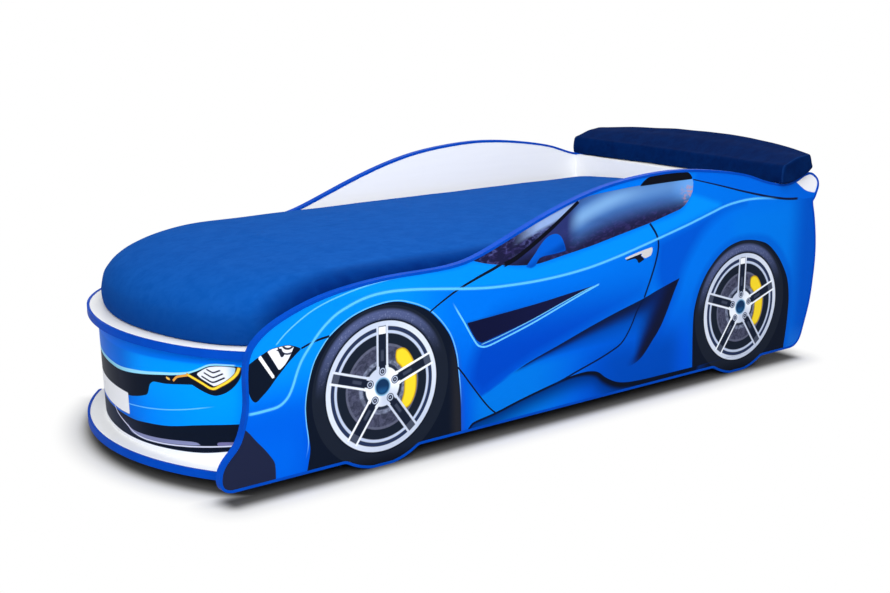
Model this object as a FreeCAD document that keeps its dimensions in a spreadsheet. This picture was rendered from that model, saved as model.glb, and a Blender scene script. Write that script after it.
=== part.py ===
import FreeCAD, Part
import math
import os

from FreeCAD import Placement, Rotation, Vector

# Car bed for children. X runs from the nose to the tail, Y across the bed, Z up from the floor.
# The origin is on the floor, under the middle of the bed. All sizes are in millimetres.

SIZES = {
    # boards
    "board": 16.0,
    "inner_width": 804.0,
    "glue_gap": 0.2,
    # side panel outline, measured over its edging
    "front_axle_x": -561.0,
    "wheelbase": 1270.4,
    "wheel_radius": 195.5,
    "floor_flat": 60.0,
    "sill_height": 28.5,
    "sill_fillet": 25.0,
    "hood_height": 453.3,
    "roof_height": 616.8,
    "nose_x": -993.0,
    "right_nose_setback": 116.0,
    "tail_x": 1045.5,
    "seat_x": 884.0,
    "seat_height": 536.5,
    "seat_radius": 160.0,
    "seat_front": 36.0,
    "seat_rear": 71.0,
    "seat_gap": 0.6,
    "notch_radius": 7.0,
    # U-shaped edging
    "edging_wall": 1.6,
    "lip_width": 6.5,
    "lip_thick": 1.2,
    # nose boards
    "deck_height": 325.0,
    "rim_apex": -1041.0,
    "rim_radius": 620.0,
    "rim_side_radius": 430.0,
    "bumper_apex": -1057.0,
    "bumper_radius": 607.0,
    "bumper_height": 47.7,
    "arc_half_angle": 22.0,
    "bulkhead_x": -806.0,
    "front_panel_setback": 25.0,
    "front_panel_lean": 8.0,
    "front_panel_thick": 3.2,
    "rib_offset": 210.0,
    # headboard and mattress base
    "headboard_x": 823.6,
    "headboard_foot": 36.5,
    "headboard_top": 540.0,
    "rail_height": 40.0,
    "rail_width": 30.0,
    "slat_thick": 18.0,
    "slat_width": 90.0,
    "slat_end_gap": 5.0,
    "cross_board_height": 140.0,
    "running_gap": 2.0,
    # mattress
    "mattress_half": 399.0,
    "mattress_front": -1004.0,
    "mattress_radius": 583.0,
    "mattress_half_angle": 28.0,
    "mattress_height": 169.0,
    "mattress_rear_gap": 2.6,
    "mattress_corner": 30.0,
    "mattress_rear_round": 16.0,
    "cover_thick": 4.0,
    "cover_gap": 0.9,
    "rest_gap": 0.3,
    # spoiler
    "spoiler_half": 438.0,
    "spoiler_front_bow": 44.0,
    "spoiler_rear_bow": 76.0,
    "spoiler_depth": 129.0,
    "spoiler_nose_height": 60.0,
    "spoiler_tail_height": 52.0,
    "spoiler_rear_rise": 19.0,
    "shelf_top": 534.5,
    "shelf_depth": 110.0,
    "core_thick": 12.0,
    "core_lift": 24.0,
    "core_inset": 20.0,
    # fixings
    "screw_radius": 2.0,
    "screw_head_radius": 4.0,
    "screw_head_height": 2.5,
    "hole_gap": 0.1,
    "long_screw": 50.0,
    "rail_screw": 40.0,
    "slat_screw": 36.0,
    "short_screw": 15.0,
    "bracket_leg": 30.0,
    "bracket_width": 20.0,
    "bracket_thick": 2.0,
}

SLAT_COUNT = 12
DOC = FreeCAD.newDocument("CarBed")
SHEET = DOC.addObject("Spreadsheet::Sheet", "Sizes")
for row, (name, value) in enumerate(SIZES.items(), start=1):
    SHEET.set("A%d" % row, name)
    SHEET.set("B%d" % row, str(value))
    SHEET.setAlias("B%d" % row, name)
DOC.recompute()


def size(name):
    return float(SHEET.get(name))


BOARD = size("board")
INNER = size("inner_width") / 2
PANEL_MID = INNER + BOARD / 2
LIP = size("lip_thick")
DECK = size("deck_height")
NODES = []


def node(obj, label):
    """Name a finished sub-part and put it on the export list."""
    obj.Label = label
    NODES.append((label, obj))
    return obj


# ---------------------------------------------------------------- outlines

def arc(centre, radius, start, end):
    """Arc of a circle in the sketch plane, from one angle to another, in degrees, either way round."""
    def on(angle):
        turn = math.radians(angle)
        return Vector(centre[0] + radius * math.cos(turn), centre[1] + radius * math.sin(turn), 0)
    return Part.Arc(on(start), on((start + end) / 2), on(end))


def line(start, end):
    return Part.LineSegment(Vector(start[0], start[1], 0), Vector(end[0], end[1], 0))


def polygon(points):
    return [line(a, b) for a, b in zip(points, points[1:] + points[:1])]


def smooth(points, start_angle, end_angle, inset):
    """Spline through points, inset to its right, that starts and ends in the given directions."""
    def heading(angle):
        return Vector(math.cos(math.radians(angle)), math.sin(math.radians(angle)), 0)

    def through(places):
        run = [0.0]
        for a, b in zip(places, places[1:]):
            run.append(run[-1] + a.distanceToPoint(b))
        curve = Part.BSplineCurve()
        curve.interpolate(Points=places, Parameters=run, Scale=False,
                          InitialTangent=heading(start_angle), FinalTangent=heading(end_angle))
        return curve, run

    base, run = through([Vector(x, z, 0) for x, z in points])
    if inset == 0:
        return base
    moved = []
    for at in run:
        along = base.tangent(at)[0].normalize()
        moved.append(base.value(at) + Vector(along.y, -along.x, 0) * inset)
    return through(moved)[0]


def wheel_path(axle_x, inset):
    """Underside of one wheel, from its rear fillet to its front one, and the two ends on the sill."""
    radius = size("wheel_radius")
    flat = size("floor_flat") / 2
    axle_z = math.sqrt(radius ** 2 - flat ** 2)
    fillet = size("sill_fillet")
    sill = size("sill_height")
    rise = axle_z - (sill - fillet)
    reach = math.sqrt((radius + fillet) ** 2 - rise ** 2)
    lean = math.degrees(math.atan2(rise, reach))
    tyre = radius - inset
    flat_half = math.sqrt(tyre ** 2 - (axle_z - inset) ** 2)
    flat_angle = math.degrees(math.asin(flat_half / tyre))
    bend = fillet + inset
    rear = (axle_x + reach, sill - fillet)
    front = (axle_x - reach, sill - fillet)
    path = [
        arc(rear, bend, 90, 180 - lean),
        arc((axle_x, axle_z), tyre, -lean, flat_angle - 90),
        line((axle_x + flat_half, inset), (axle_x - flat_half, inset)),
        arc((axle_x, axle_z), tyre, -90 - flat_angle, lean - 180),
        arc(front, bend, lean, 90),
    ]
    return path, (front[0], sill + inset), (rear[0], sill + inset)


def side_outline(inset=0.0, plain_nose=False):
    """Outline of a side panel in X and Z, drawn clockwise from the front of the sill."""
    nose, tail = size("nose_x"), size("tail_x")
    axle = size("front_axle_x")
    rear_axle = axle + size("wheelbase")
    sill, hood, roof = size("sill_height"), size("hood_height"), size("roof_height")
    seat_x, seat_z, seat_r = size("seat_x"), size("seat_height"), size("seat_radius")
    seat_mid = (seat_x, seat_z + seat_r)
    front_angle = math.degrees(math.asin(size("seat_front") / seat_r))
    rear_angle = math.degrees(math.asin(size("seat_rear") / seat_r))

    def on_seat(offset):
        return (seat_x + offset, seat_mid[1] - math.sqrt(seat_r ** 2 - offset ** 2))

    notch = (tail - 21.5, seat_z - 66.5)
    notch_r = size("notch_radius")
    notch_in, notch_out = 130.0, 190.0

    def on_notch(angle):
        turn = math.radians(angle)
        return (notch[0] + notch_r * math.cos(turn), notch[1] + notch_r * math.sin(turn))

    rear_sill = (tail - 105, sill)
    if plain_nose:
        # The right panel ends behind the bent front panel.
        front = nose + size("right_nose_setback")
        front_edge = [
            (front + 19, sill), (front + 6, sill + 4), (front, sill + 20), (front, sill + 55),
            (front, sill + 121), (front, sill + 192), (front, hood - 163), (front + 4, hood - 123),
            (front + 18, hood - 90), (front + 42, hood - 63), (front + 77, hood - 44),
        ]
    else:
        front_edge = [
            (nose + 35, sill), (nose + 7, sill + 11), (nose, sill + 32), (nose + 14, sill + 71),
            (nose + 43, sill + 101), (nose + 61, sill + 140), (nose + 71, sill + 187),
            (nose + 71.5, hood - 163), (nose + 84, hood - 114), (nose + 115.5, hood - 81),
            (nose + 177.5, hood - 49),
        ]
    front_sill = front_edge[0]
    bonnet = front_edge + [
        (nose + 260, hood - 23), (axle - 70, hood - 7),
        (axle + 50, hood), (axle + 170, hood), (axle + 249.5, hood + 7.7),
        (axle + 349.5, hood + 37.7), (axle + 469.5, roof - 82.5), (axle + 589.5, roof - 45),
        (axle + 709.5, roof - 18.3), (axle + 829.5, roof - 4.6), (rear_axle - 321, roof),
        (rear_axle - 201, roof - 6.8), (rear_axle - 81, roof - 22.3), (rear_axle + 19, roof - 43.5),
        (rear_axle + 80, roof - 63), on_seat(-size("seat_front")),
    ]
    fin = [
        on_seat(size("seat_rear")), (tail - 70.5, seat_z + 22.5), (tail - 52, seat_z + 24.5),
        (tail - 27.5, seat_z + 14.5), (tail - 10.5, seat_z - 1), (tail - 5.5, seat_z - 19),
        (tail - 11.5, seat_z - 38), on_notch(notch_in),
    ]
    tail_end = [
        on_notch(notch_out), (tail - 21, hood - 11), (tail - 11, hood - 52), (tail - 2.5, hood - 105),
        (tail, hood - 160), (tail - 3.5, hood - 215), (tail - 15.5, sill + 126),
        (tail - 36.5, sill + 57), (tail - 52, sill + 21), (tail - 74, sill + 4), rear_sill,
    ]
    rear_path, rear_front_end, rear_rear_end = wheel_path(rear_axle, inset)
    front_path, front_front_end, front_rear_end = wheel_path(axle, inset)
    shape = [
        smooth(bonnet, 180, -front_angle, inset),
        arc(seat_mid, seat_r + inset, -90 - front_angle, rear_angle - 90),
        smooth(fin, rear_angle, notch_in + 90, inset),
        arc(notch, notch_r + inset, notch_in, notch_out),
        smooth(tail_end, notch_out + 90, 180, inset),
        line((rear_sill[0], sill + inset), rear_rear_end),
    ]
    shape += rear_path
    shape.append(line(rear_front_end, front_rear_end))
    shape += front_path
    shape.append(line(front_front_end, (front_sill[0], sill + inset)))
    return shape


def nose_curve(apex, radius, side_radius, inset, half, half_angle):
    """Front edge of a nose board in X and Y: a wide arc and a tighter arc on each side of it."""
    turn = math.radians(half_angle)
    mid = Vector(apex + radius, 0, 0)
    join = mid + Vector(-math.cos(turn), math.sin(turn), 0) * radius
    side = join + (mid - join) * (side_radius / radius)
    tight = side_radius - inset
    end_angle = math.degrees(math.asin((half - side.y) / tight))
    end = (side.x - tight * math.cos(math.radians(end_angle)), half)
    pieces = [
        arc((side.x, -side.y), tight, 180 + end_angle, 180 + half_angle),
        arc((mid.x, 0), radius - inset, 180 + half_angle, 180 - half_angle),
        arc((side.x, side.y), tight, 180 - half_angle, 180 - end_angle),
    ]
    return pieces, end


def rim_curve(inset, half=INNER):
    return nose_curve(size("rim_apex"), size("rim_radius"), size("rim_side_radius"), inset, half,
                      size("arc_half_angle"))


def bumper_curve(inset, half=INNER):
    radius = size("bumper_radius")
    return nose_curve(size("bumper_apex"), radius, radius, inset, half, size("arc_half_angle"))


def closed_behind(curve, x):
    """A nose curve closed by straight sides and a straight back edge at x."""
    pieces, end = curve
    return pieces + polygon([end, (x, end[1]), (x, -end[1]), (end[0], -end[1])])[:3]


def band(curve, width):
    """The strip between a nose curve and the same curve further in."""
    outer, outer_end = curve(0.0)
    inner, inner_end = curve(width)
    ends = [line(outer_end, inner_end), line((inner_end[0], -inner_end[1]), (outer_end[0], -outer_end[1]))]
    return outer + inner + ends


# ---------------------------------------------------------------- features

def sketch_on(body, plane_role, geometry, offset, name):
    """Sketch on one of the body's own origin planes, moved along the plane's normal."""
    plane = next(f for f in body.Origin.OriginFeatures if f.Role == plane_role)
    sketch = body.newObject("Sketcher::SketchObject", name)
    sketch.AttachmentSupport = [(plane, "")]
    sketch.MapMode = "FlatFace"
    sketch.AttachmentOffset = Placement(Vector(0, 0, offset), Rotation())
    for piece in geometry:
        sketch.addGeometry(piece, False)
    return sketch


def pad(body, sketch, length, name):
    """Pad that runs as far to both sides of its sketch."""
    feature = body.newObject("PartDesign::Pad", name)
    feature.Profile = sketch
    feature.SideType = "Symmetric"
    feature.setExpression("Length", length)
    sketch.Visibility = False
    return feature


def pocket(body, sketch, length, name):
    """Pocket that cuts as far to both sides of its sketch, checked by the volume it takes."""
    before = body.Tip.Shape.Volume
    feature = body.newObject("PartDesign::Pocket", name)
    feature.Profile = sketch
    feature.SideType = "Symmetric"
    feature.setExpression("Length", length)
    sketch.Visibility = False
    DOC.recompute()
    if feature.Shape.Volume > before - 1:
        raise RuntimeError(name + " takes nothing away")
    return feature


def board_body(label, plane_role, geometry, offset, length):
    """A flat board: its outline padded to both sides of its middle plane."""
    body = DOC.addObject("PartDesign::Body", label)
    sketch = sketch_on(body, plane_role, geometry, offset, label + "_outline")
    pad(body, sketch, length, label + "_pad")
    DOC.recompute()
    return body


def box(label, low, high, ends=()):
    """A rectangular board or batten from its low corner to its high one, each face an expression."""
    part = DOC.addObject("Part::Box", label)
    for axis, side, a, b in zip("xyz", ("Length", "Width", "Height"), low, high):
        part.setExpression("Placement.Base." + axis, a)
        part.setExpression(side, "(%s) - (%s)" % (b, a))
    return part


DRILLED = {}


def screw(length):
    """A countersunk screw along -Z, its head's face at the origin."""
    radius, head = size("screw_radius"), size("screw_head_radius")
    height = size("screw_head_height")
    tip = radius * 1.5
    profile = Part.makePolygon([
        Vector(0, 0, 0), Vector(head, 0, 0), Vector(radius, 0, -height),
        Vector(radius, 0, tip - length), Vector(0, 0, -length), Vector(0, 0, 0),
    ])
    return Part.Face(profile).revolve(Vector(0, 0, 0), Vector(0, 0, 1), 360)


def screw_hole(length, depth_from_head):
    """The hole of a screw, a little wider than its shank, with its countersink."""
    gap = size("hole_gap")
    radius = size("screw_radius") + gap
    head = size("screw_head_radius") + gap
    height = size("screw_head_height")
    shank = Part.makeCylinder(radius, length + gap, Vector(0, 0, 0), Vector(0, 0, -1))
    sink = Part.makeCone(head, radius, height, Vector(0, 0, 0), Vector(0, 0, -1))
    clear = Part.makeCylinder(head, depth_from_head, Vector(0, 0, 0), Vector(0, 0, 1))
    return shank.fuse([sink, clear])


def turned(direction):
    """Rotation that takes -Z to a direction."""
    return Rotation(Vector(0, 0, -1), Vector(*direction))


def screw_group(label, length, places):
    """Identical screws of one joint as one node, and their holes in the boards that they cross."""
    solid = screw(length)
    hole = screw_hole(length, 1.0)
    shapes = []
    for position, direction, boards in places:
        place = Placement(Vector(*position), turned(direction))
        one = solid.copy()
        one.Placement = place
        shapes.append(one)
        for board in boards:
            cut = hole.copy()
            cut.Placement = place
            DRILLED.setdefault(board, []).append(cut)
    group = DOC.addObject("Part::Feature", label)
    group.Shape = Part.makeCompound(shapes)
    return node(group, label)


def drill(label, base):
    """A board with the holes of its screws cut out."""
    cuts = DRILLED.get(label)
    if not cuts:
        return node(base, label)
    base.Label = label + "_blank"
    tools = DOC.addObject("Part::Feature", label + "_holes")
    tools.Shape = Part.makeCompound(cuts)
    cut = DOC.addObject("Part::Cut", label + "_drilled")
    cut.Base = base
    cut.Tool = tools
    return node(cut, label)


BLANKS = {}

# ---------------------------------------------------------------- side panels and their edging

WALL = size("edging_wall")
PANEL_LENGTH = "Sizes.board"
for side, sign in (("left", 1), ("right", -1)):
    offset = sign * PANEL_MID
    plain = side == "right"
    BLANKS[side + "_side_panel"] = board_body(
        side + "_side_panel", "XZ_Plane", side_outline(WALL, plain), offset, "Sizes.board")
    edging = board_body(side + "_edging", "XZ_Plane", side_outline(0.0, plain), offset,
                        "Sizes.board + 2 * Sizes.lip_thick")
    window = sketch_on(edging, "XZ_Plane", side_outline(size("lip_width"), plain), offset,
                       side + "_window")
    pocket(edging, window, "2 * Sizes.board", side + "_edging_window")
    groove = sketch_on(edging, "XZ_Plane", side_outline(WALL, plain), offset, side + "_groove")
    pocket(edging, groove, "Sizes.board", side + "_edging_groove")
    node(edging, side + "_edging")

# ---------------------------------------------------------------- nose boards

BULKHEAD_BACK = size("bulkhead_x") + BOARD
RIM_MID = DECK - BOARD / 2
BUMPER_TOP = size("bumper_height")
BUMPER_MID = BUMPER_TOP - BOARD / 2
# The nose boards end just short of the side panels' edging lips.
NOSE_HALF = INNER - LIP - size("rest_gap")

for label, curve, mid in (("rim_board", rim_curve, RIM_MID), ("bumper_shelf", bumper_curve, BUMPER_MID)):
    BLANKS[label] = board_body(
        label, "XY_Plane", closed_behind(curve(WALL, NOSE_HALF), BULKHEAD_BACK), mid, "Sizes.board")

for label, curve, mid in (("rim_edging", rim_curve, RIM_MID), ("bumper_edging", bumper_curve, BUMPER_MID)):

    def edging_curve(inset, curve=curve):
        return curve(inset, NOSE_HALF)

    strip = board_body(label, "XY_Plane", band(edging_curve, size("lip_width")), mid,
                       "Sizes.board + 2 * Sizes.lip_thick")

    groove = sketch_on(strip, "XY_Plane", closed_behind(curve(WALL), BULKHEAD_BACK), mid, label + "_groove")
    pocket(strip, groove, "Sizes.board", label + "_groove_cut")
    node(strip, label)

# The bent front panel leans back towards its foot, so its outline is swept along a slanted line.
LEAN = size("front_panel_lean")
PANEL_RISE = DECK - BOARD - BUMPER_TOP
SETBACK = size("front_panel_setback")


def leaning(label, geometry, width_shift=0.0):
    """A plan outline drawn at the foot of the nose and swept up to the rim board."""
    sketch = DOC.addObject("Sketcher::SketchObject", label + "_plan")
    for piece in geometry:
        sketch.addGeometry(piece, False)
    sketch.Placement = Placement(Vector(LEAN, 0, BUMPER_TOP), Rotation())
    sweep = DOC.addObject("Part::Extrusion", label)
    sweep.Base = sketch
    sweep.DirMode = "Custom"
    sweep.Dir = Vector(-LEAN, 0, PANEL_RISE)
    sweep.LengthFwd = math.hypot(LEAN, PANEL_RISE)
    sweep.Solid = True
    return sweep


def panel_curve(inset):
    return rim_curve(SETBACK + inset)


node(leaning("front_panel", band(panel_curve, size("front_panel_thick"))), "front_panel")

behind_panel = closed_behind(rim_curve(SETBACK + size("front_panel_thick") + size("glue_gap")),
                             size("bulkhead_x"))
for name, place in (("left", -1), ("centre", 0), ("right", 1)):
    label = "front_rib_" + name
    middle = "%d * Sizes.rib_offset" % place
    strip = box(label + "_strip",
                ("Sizes.rim_apex", middle + " - Sizes.board / 2", "Sizes.bumper_height"),
                ("Sizes.bulkhead_x", middle + " + Sizes.board / 2", "Sizes.deck_height - Sizes.board"))
    rib = DOC.addObject("Part::Common", label)
    rib.Base = strip
    rib.Tool = leaning(label + "_space", behind_panel)
    BLANKS[label] = rib

BLANKS["front_bulkhead"] = box(
    "front_bulkhead",
    ("Sizes.bulkhead_x", "-Sizes.inner_width / 2", "Sizes.bumper_height"),
    ("Sizes.bulkhead_x + Sizes.board", "Sizes.inner_width / 2", "Sizes.deck_height - Sizes.board"))

# ---------------------------------------------------------------- headboard and mattress base

HEAD_X = size("headboard_x")
lip_top = size("seat_height") - size("lip_width") - size("rest_gap")
head_half = INNER - LIP - size("rest_gap")
head_low, head_high = size("headboard_foot"), size("headboard_top")
BLANKS["headboard"] = board_body("headboard", "YZ_Plane", polygon([
    (-INNER, head_low), (INNER, head_low), (INNER, lip_top), (head_half, lip_top),
    (head_half, head_high), (-head_half, head_high), (-head_half, lip_top), (-INNER, lip_top),
]), HEAD_X + BOARD / 2, "Sizes.board")

RAIL_TOP = "Sizes.deck_height - Sizes.slat_thick"
RAIL_FOOT = RAIL_TOP + " - Sizes.rail_height"
BASE_FRONT = "Sizes.bulkhead_x + Sizes.board"
for side, sign in (("left", -1), ("right", 1)):
    outer = "%d * Sizes.inner_width / 2" % sign
    inner = "%d * (Sizes.inner_width / 2 - Sizes.rail_width)" % sign
    low, high = (outer, inner) if sign < 0 else (inner, outer)
    BLANKS[side + "_rail"] = box(side + "_rail", (BASE_FRONT, low, RAIL_FOOT),
                                 ("Sizes.headboard_x", high, RAIL_TOP))

BLANKS["centre_beam"] = box("centre_beam", (BASE_FRONT, "-Sizes.rail_width / 2", RAIL_FOOT),
                            ("Sizes.headboard_x", "Sizes.rail_width / 2", RAIL_TOP))

CROSS_MID = "(Sizes.bulkhead_x + Sizes.board + Sizes.headboard_x) / 2"
BLANKS["middle_cross_board"] = box(
    "middle_cross_board",
    (CROSS_MID + " - Sizes.board / 2", "-Sizes.inner_width / 2", RAIL_FOOT + " - Sizes.cross_board_height"),
    (CROSS_MID + " + Sizes.board / 2", "Sizes.inner_width / 2", RAIL_FOOT))

base_front = BULKHEAD_BACK + size("slat_end_gap")
base_rear = HEAD_X - size("slat_end_gap")
slat_pitch = (base_rear - base_front - size("slat_width")) / (SLAT_COUNT - 1)
SLAT_MIDDLES = []
for index in range(SLAT_COUNT):
    label = "slat_%02d" % (index + 1)
    start = BASE_FRONT + " + Sizes.slat_end_gap + %d * (Sizes.headboard_x - Sizes.bulkhead_x" % index
    start += " - Sizes.board - 2 * Sizes.slat_end_gap - Sizes.slat_width) / %d" % (SLAT_COUNT - 1)
    BLANKS[label] = box(label, (start, "Sizes.running_gap - Sizes.inner_width / 2", RAIL_TOP),
                        (start + " + Sizes.slat_width", "Sizes.inner_width / 2 - Sizes.running_gap",
                         "Sizes.deck_height"))
    SLAT_MIDDLES.append(base_front + index * slat_pitch + size("slat_width") / 2)

# ---------------------------------------------------------------- mattress

def mattress_plan(inset, nose_inset, skin, height):
    """Closed plan outline of the mattress: a round nose, straight sides and a square rear end."""
    turn = math.radians(size("mattress_half_angle"))
    half = size("mattress_half") - inset - skin
    radius = size("mattress_radius") * half / size("mattress_half")
    corner = (half - radius * math.sin(turn)) / (1 - math.sin(turn))
    apex = size("mattress_front") + inset + nose_inset + skin
    mid = apex + radius
    join_x, join_y = mid - radius * math.cos(turn), radius * math.sin(turn)
    side_x = join_x + (mid - join_x) * corner / radius
    side_y = join_y - join_y * corner / radius
    rear = HEAD_X - size("mattress_rear_gap") - min(inset, size("mattress_rear_round")) - skin
    bend = size("mattress_corner")
    angle = size("mattress_half_angle")
    pieces = [
        arc((mid, 0), radius, 180 + angle, 180 - angle),
        arc((side_x, side_y), corner, 180 - angle, 90),
        line((side_x, half), (rear - bend, half)),
        arc((rear - bend, half - bend), bend, 90, 0),
        line((rear, half - bend), (rear, bend - half)),
        arc((rear - bend, bend - half), bend, 0, -90),
        line((rear - bend, -half), (side_x, -half)),
        arc((side_x, -side_y), corner, 270, 180 + angle),
    ]
    wire = Part.Wire([piece.toShape() for piece in pieces])
    wire.translate(Vector(0, 0, height))
    return wire


# Each row is a level of the mattress: its share of the height, how far its edge has drawn in,
# and how much further its nose has drawn back, in millimetres.
MATTRESS_LEVELS = [
    (0.0, 12, 0), (0.06, 4, 0), (0.18, 0, 0), (0.385, 0, 6), (0.545, 3, 22), (0.68, 8, 48),
    (0.78, 15, 82), (0.858, 28, 120), (0.905, 60, 150), (0.941, 120, 170), (0.976, 200, 150),
    (1.0, 290, 80),
]


def mattress_level(share, column):
    """One column of MATTRESS_LEVELS at any share of the height, on a curve that doesn't overshoot."""
    at = [row[0] for row in MATTRESS_LEVELS]
    values = [row[column] for row in MATTRESS_LEVELS]
    rise = [(v2 - v1) / (s2 - s1) for s1, s2, v1, v2 in zip(at, at[1:], values, values[1:])]
    inner = [2 * a * b / (a + b) if a * b > 0 else 0.0 for a, b in zip(rise, rise[1:])]
    slope = rise[:1] + inner + rise[-1:]
    i = max(k for k in range(len(rise)) if at[k] <= share)
    width = at[i + 1] - at[i]
    t = (share - at[i]) / width
    return ((1 + 2 * t) * (1 - t) ** 2 * values[i] + t * (1 - t) ** 2 * width * slope[i]
            + t * t * (3 - 2 * t) * values[i + 1] + t * t * (t - 1) * width * slope[i + 1])


def mattress_solid(skin):
    """The mattress's own form, or its core under a cover of the given thickness."""
    bottom = DECK + size("rest_gap") + skin
    height = size("mattress_height") - 2 * skin
    given = [row[0] for row in MATTRESS_LEVELS]
    between = [(low + high) / 2 for low, high in zip(given, given[1:])]
    wires = [mattress_plan(mattress_level(share, 1), mattress_level(share, 2), skin, bottom + share * height)
             for share in sorted(given + between)]
    return Part.makeLoft(wires, True, True)


core_shape = mattress_solid(size("cover_thick"))
hollow_shape = mattress_solid(size("cover_thick") - size("cover_gap"))
cover_shape = mattress_solid(0.0).cut(hollow_shape)
for label, shape in (("mattress_core", core_shape), ("mattress_cover", cover_shape)):
    soft = DOC.addObject("Part::Feature", label)
    soft.Shape = shape
    node(soft, label)

# ---------------------------------------------------------------- spoiler

SEAT_X, SEAT_Z, SEAT_R = size("seat_x"), size("seat_height"), size("seat_radius")
SPOILER_HALF = size("spoiler_half")
PAD_FRONT = SEAT_X - size("seat_front") + 4
PAD_R = SEAT_R - size("seat_gap")


def seat_height(x):
    """Height of the cushion's underside: the panels' round seat, straight on, then flatter behind them."""
    leave = size("seat_rear")
    run = min(x - SEAT_X, leave)
    slope = leave / math.sqrt(PAD_R ** 2 - leave ** 2)
    bend = PAD_FRONT + size("spoiler_depth")
    straight = max(min(x, bend) - SEAT_X - leave, 0)
    behind = max(x - bend, 0) / size("spoiler_rear_bow")
    round_part = SEAT_Z + SEAT_R - math.sqrt(PAD_R ** 2 - run ** 2)
    return round_part + straight * slope + behind * size("spoiler_rear_rise")


def spoiler_section(y):
    """Cross-section of the crescent cushion at one place across the bed."""
    share = 1 - (y / SPOILER_HALF) ** 2
    front = PAD_FRONT + size("spoiler_front_bow") * share
    rear = PAD_FRONT + size("spoiler_depth") + size("spoiler_rear_bow") * share
    front_low = seat_height(front)
    rear_low = seat_height(rear)
    front_top = front_low + size("spoiler_nose_height")
    rear_top = rear_low + size("spoiler_tail_height")
    depth = rear - front
    seat_end = SEAT_X + size("seat_rear")
    seat_mid = (front + seat_end) / 2
    points = {
        "low_front": (front, front_low), "seat_mid": (seat_mid, seat_height(seat_mid)),
        "seat_end": (seat_end, seat_height(seat_end)),
        "low_rear": (rear - 6, rear_low - 1), "rear_mid": (rear - 1, rear_low + 2),
        "rear_low": (rear, rear_low + 10), "rear_top": (rear - 12, rear_top - 12),
        "rear_bend": (rear - 15, rear_top - 5), "top_rear": (rear - 24, rear_top - 1),
        "top_mid": (front + depth / 2, (front_top + rear_top) / 2 + 6),
        "top_front": (front + 22, front_top), "front_bend": (front + 4, front_top - 7),
        "front_top": (front - 3, front_top - 24),
    }
    at = {name: Vector(x, y, z) for name, (x, z) in points.items()}
    front_mid = Vector(front - 4, y, front_low + (front_top - front_low) * 0.3)
    pieces = [
        Part.Arc(at["low_front"], at["seat_mid"], at["seat_end"]),
        Part.LineSegment(at["seat_end"], at["low_rear"]),
        Part.Arc(at["low_rear"], at["rear_mid"], at["rear_low"]),
        Part.LineSegment(at["rear_low"], at["rear_top"]),
        Part.Arc(at["rear_top"], at["rear_bend"], at["top_rear"]),
        Part.Arc(at["top_rear"], at["top_mid"], at["top_front"]),
        Part.Arc(at["top_front"], at["front_bend"], at["front_top"]),
        Part.Arc(at["front_top"], front_mid, at["low_front"]),
    ]
    return Part.Wire([piece.toShape() for piece in pieces])


STATIONS = (-1.0, -0.8, -0.5, -0.2, 0.2, 0.5, 0.8, 1.0)
cushion = Part.makeLoft([spoiler_section(SPOILER_HALF * share) for share in STATIONS], True, False)


def core_plan(inset):
    """Plywood core inside the cushion, with a round front edge, as a flat face."""
    half = SPOILER_HALF - 2 * inset
    front_x = PAD_FRONT + inset
    rear_x = PAD_FRONT + size("spoiler_depth") - inset
    edge = [
        Part.Arc(Vector(front_x, -half, 0), Vector(front_x + size("spoiler_front_bow"), 0, 0),
                 Vector(front_x, half, 0)),
        Part.LineSegment(Vector(front_x, half, 0), Vector(rear_x, half, 0)),
        Part.LineSegment(Vector(rear_x, half, 0), Vector(rear_x, -half, 0)),
        Part.LineSegment(Vector(rear_x, -half, 0), Vector(front_x, -half, 0)),
    ]
    return Part.Face(Part.Wire([piece.toShape() for piece in edge]))


core_z = SEAT_Z + size("core_lift")
core = core_plan(size("core_inset")).extrude(Vector(0, 0, size("core_thick")))
core.translate(Vector(0, 0, core_z))
gap = size("glue_gap")
space = core_plan(size("core_inset") - gap).extrude(Vector(0, 0, size("core_thick") + 2 * gap))
space.translate(Vector(0, 0, core_z - gap))
for label, shape in (("spoiler_core", core), ("spoiler_cushion", cushion.cut(space))):
    soft = DOC.addObject("Part::Feature", label)
    soft.Shape = shape
    BLANKS[label] = soft

BLANKS["spoiler_shelf"] = box(
    "spoiler_shelf",
    ("Sizes.headboard_x + Sizes.board", "Sizes.lip_thick + Sizes.rest_gap - Sizes.inner_width / 2",
     "Sizes.shelf_top - Sizes.board"),
    ("Sizes.headboard_x + Sizes.board + Sizes.shelf_depth",
     "Sizes.inner_width / 2 - Sizes.lip_thick - Sizes.rest_gap", "Sizes.shelf_top"))

# ---------------------------------------------------------------- fixings

LONG, SHORT = size("long_screw"), size("short_screw")
RIB = size("rib_offset")
down, up = (0, 0, -1), (0, 0, 1)

nose_places = []
for y, rib in ((-RIB, "front_rib_left"), (0, "front_rib_centre"), (RIB, "front_rib_right")):
    for back in (60.0, 130.0):
        nose_places.append((size("bulkhead_x") - back, y, rib))
for y in (-300.0, -100.0, 100.0, 300.0):
    nose_places.append((size("bulkhead_x") + BOARD / 2, y, "front_bulkhead"))
screw_group("rim_screws", LONG, [((x, y, DECK), down, ("rim_board", carrier)) for x, y,
                                 carrier in nose_places])
screw_group("bumper_screws", LONG,
            [((x, y, BUMPER_TOP - BOARD), up, ("bumper_shelf", carrier)) for x, y, carrier in nose_places])

rail_mid = DECK - size("slat_thick") - size("rail_height") / 2
rail_places = []
for side, sign in (("left", -1), ("right", 1)):
    for index in range(5):
        x = SLAT_MIDDLES[0] + (SLAT_MIDDLES[-1] - SLAT_MIDDLES[0]) * (index + 0.15) / 4.3
        rail_places.append(((x, sign * (INNER - size("rail_width")), rail_mid), (0, sign, 0),
                            (side + "_rail", side + "_side_panel")))
screw_group("rail_screws", size("rail_screw"), rail_places)

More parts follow.
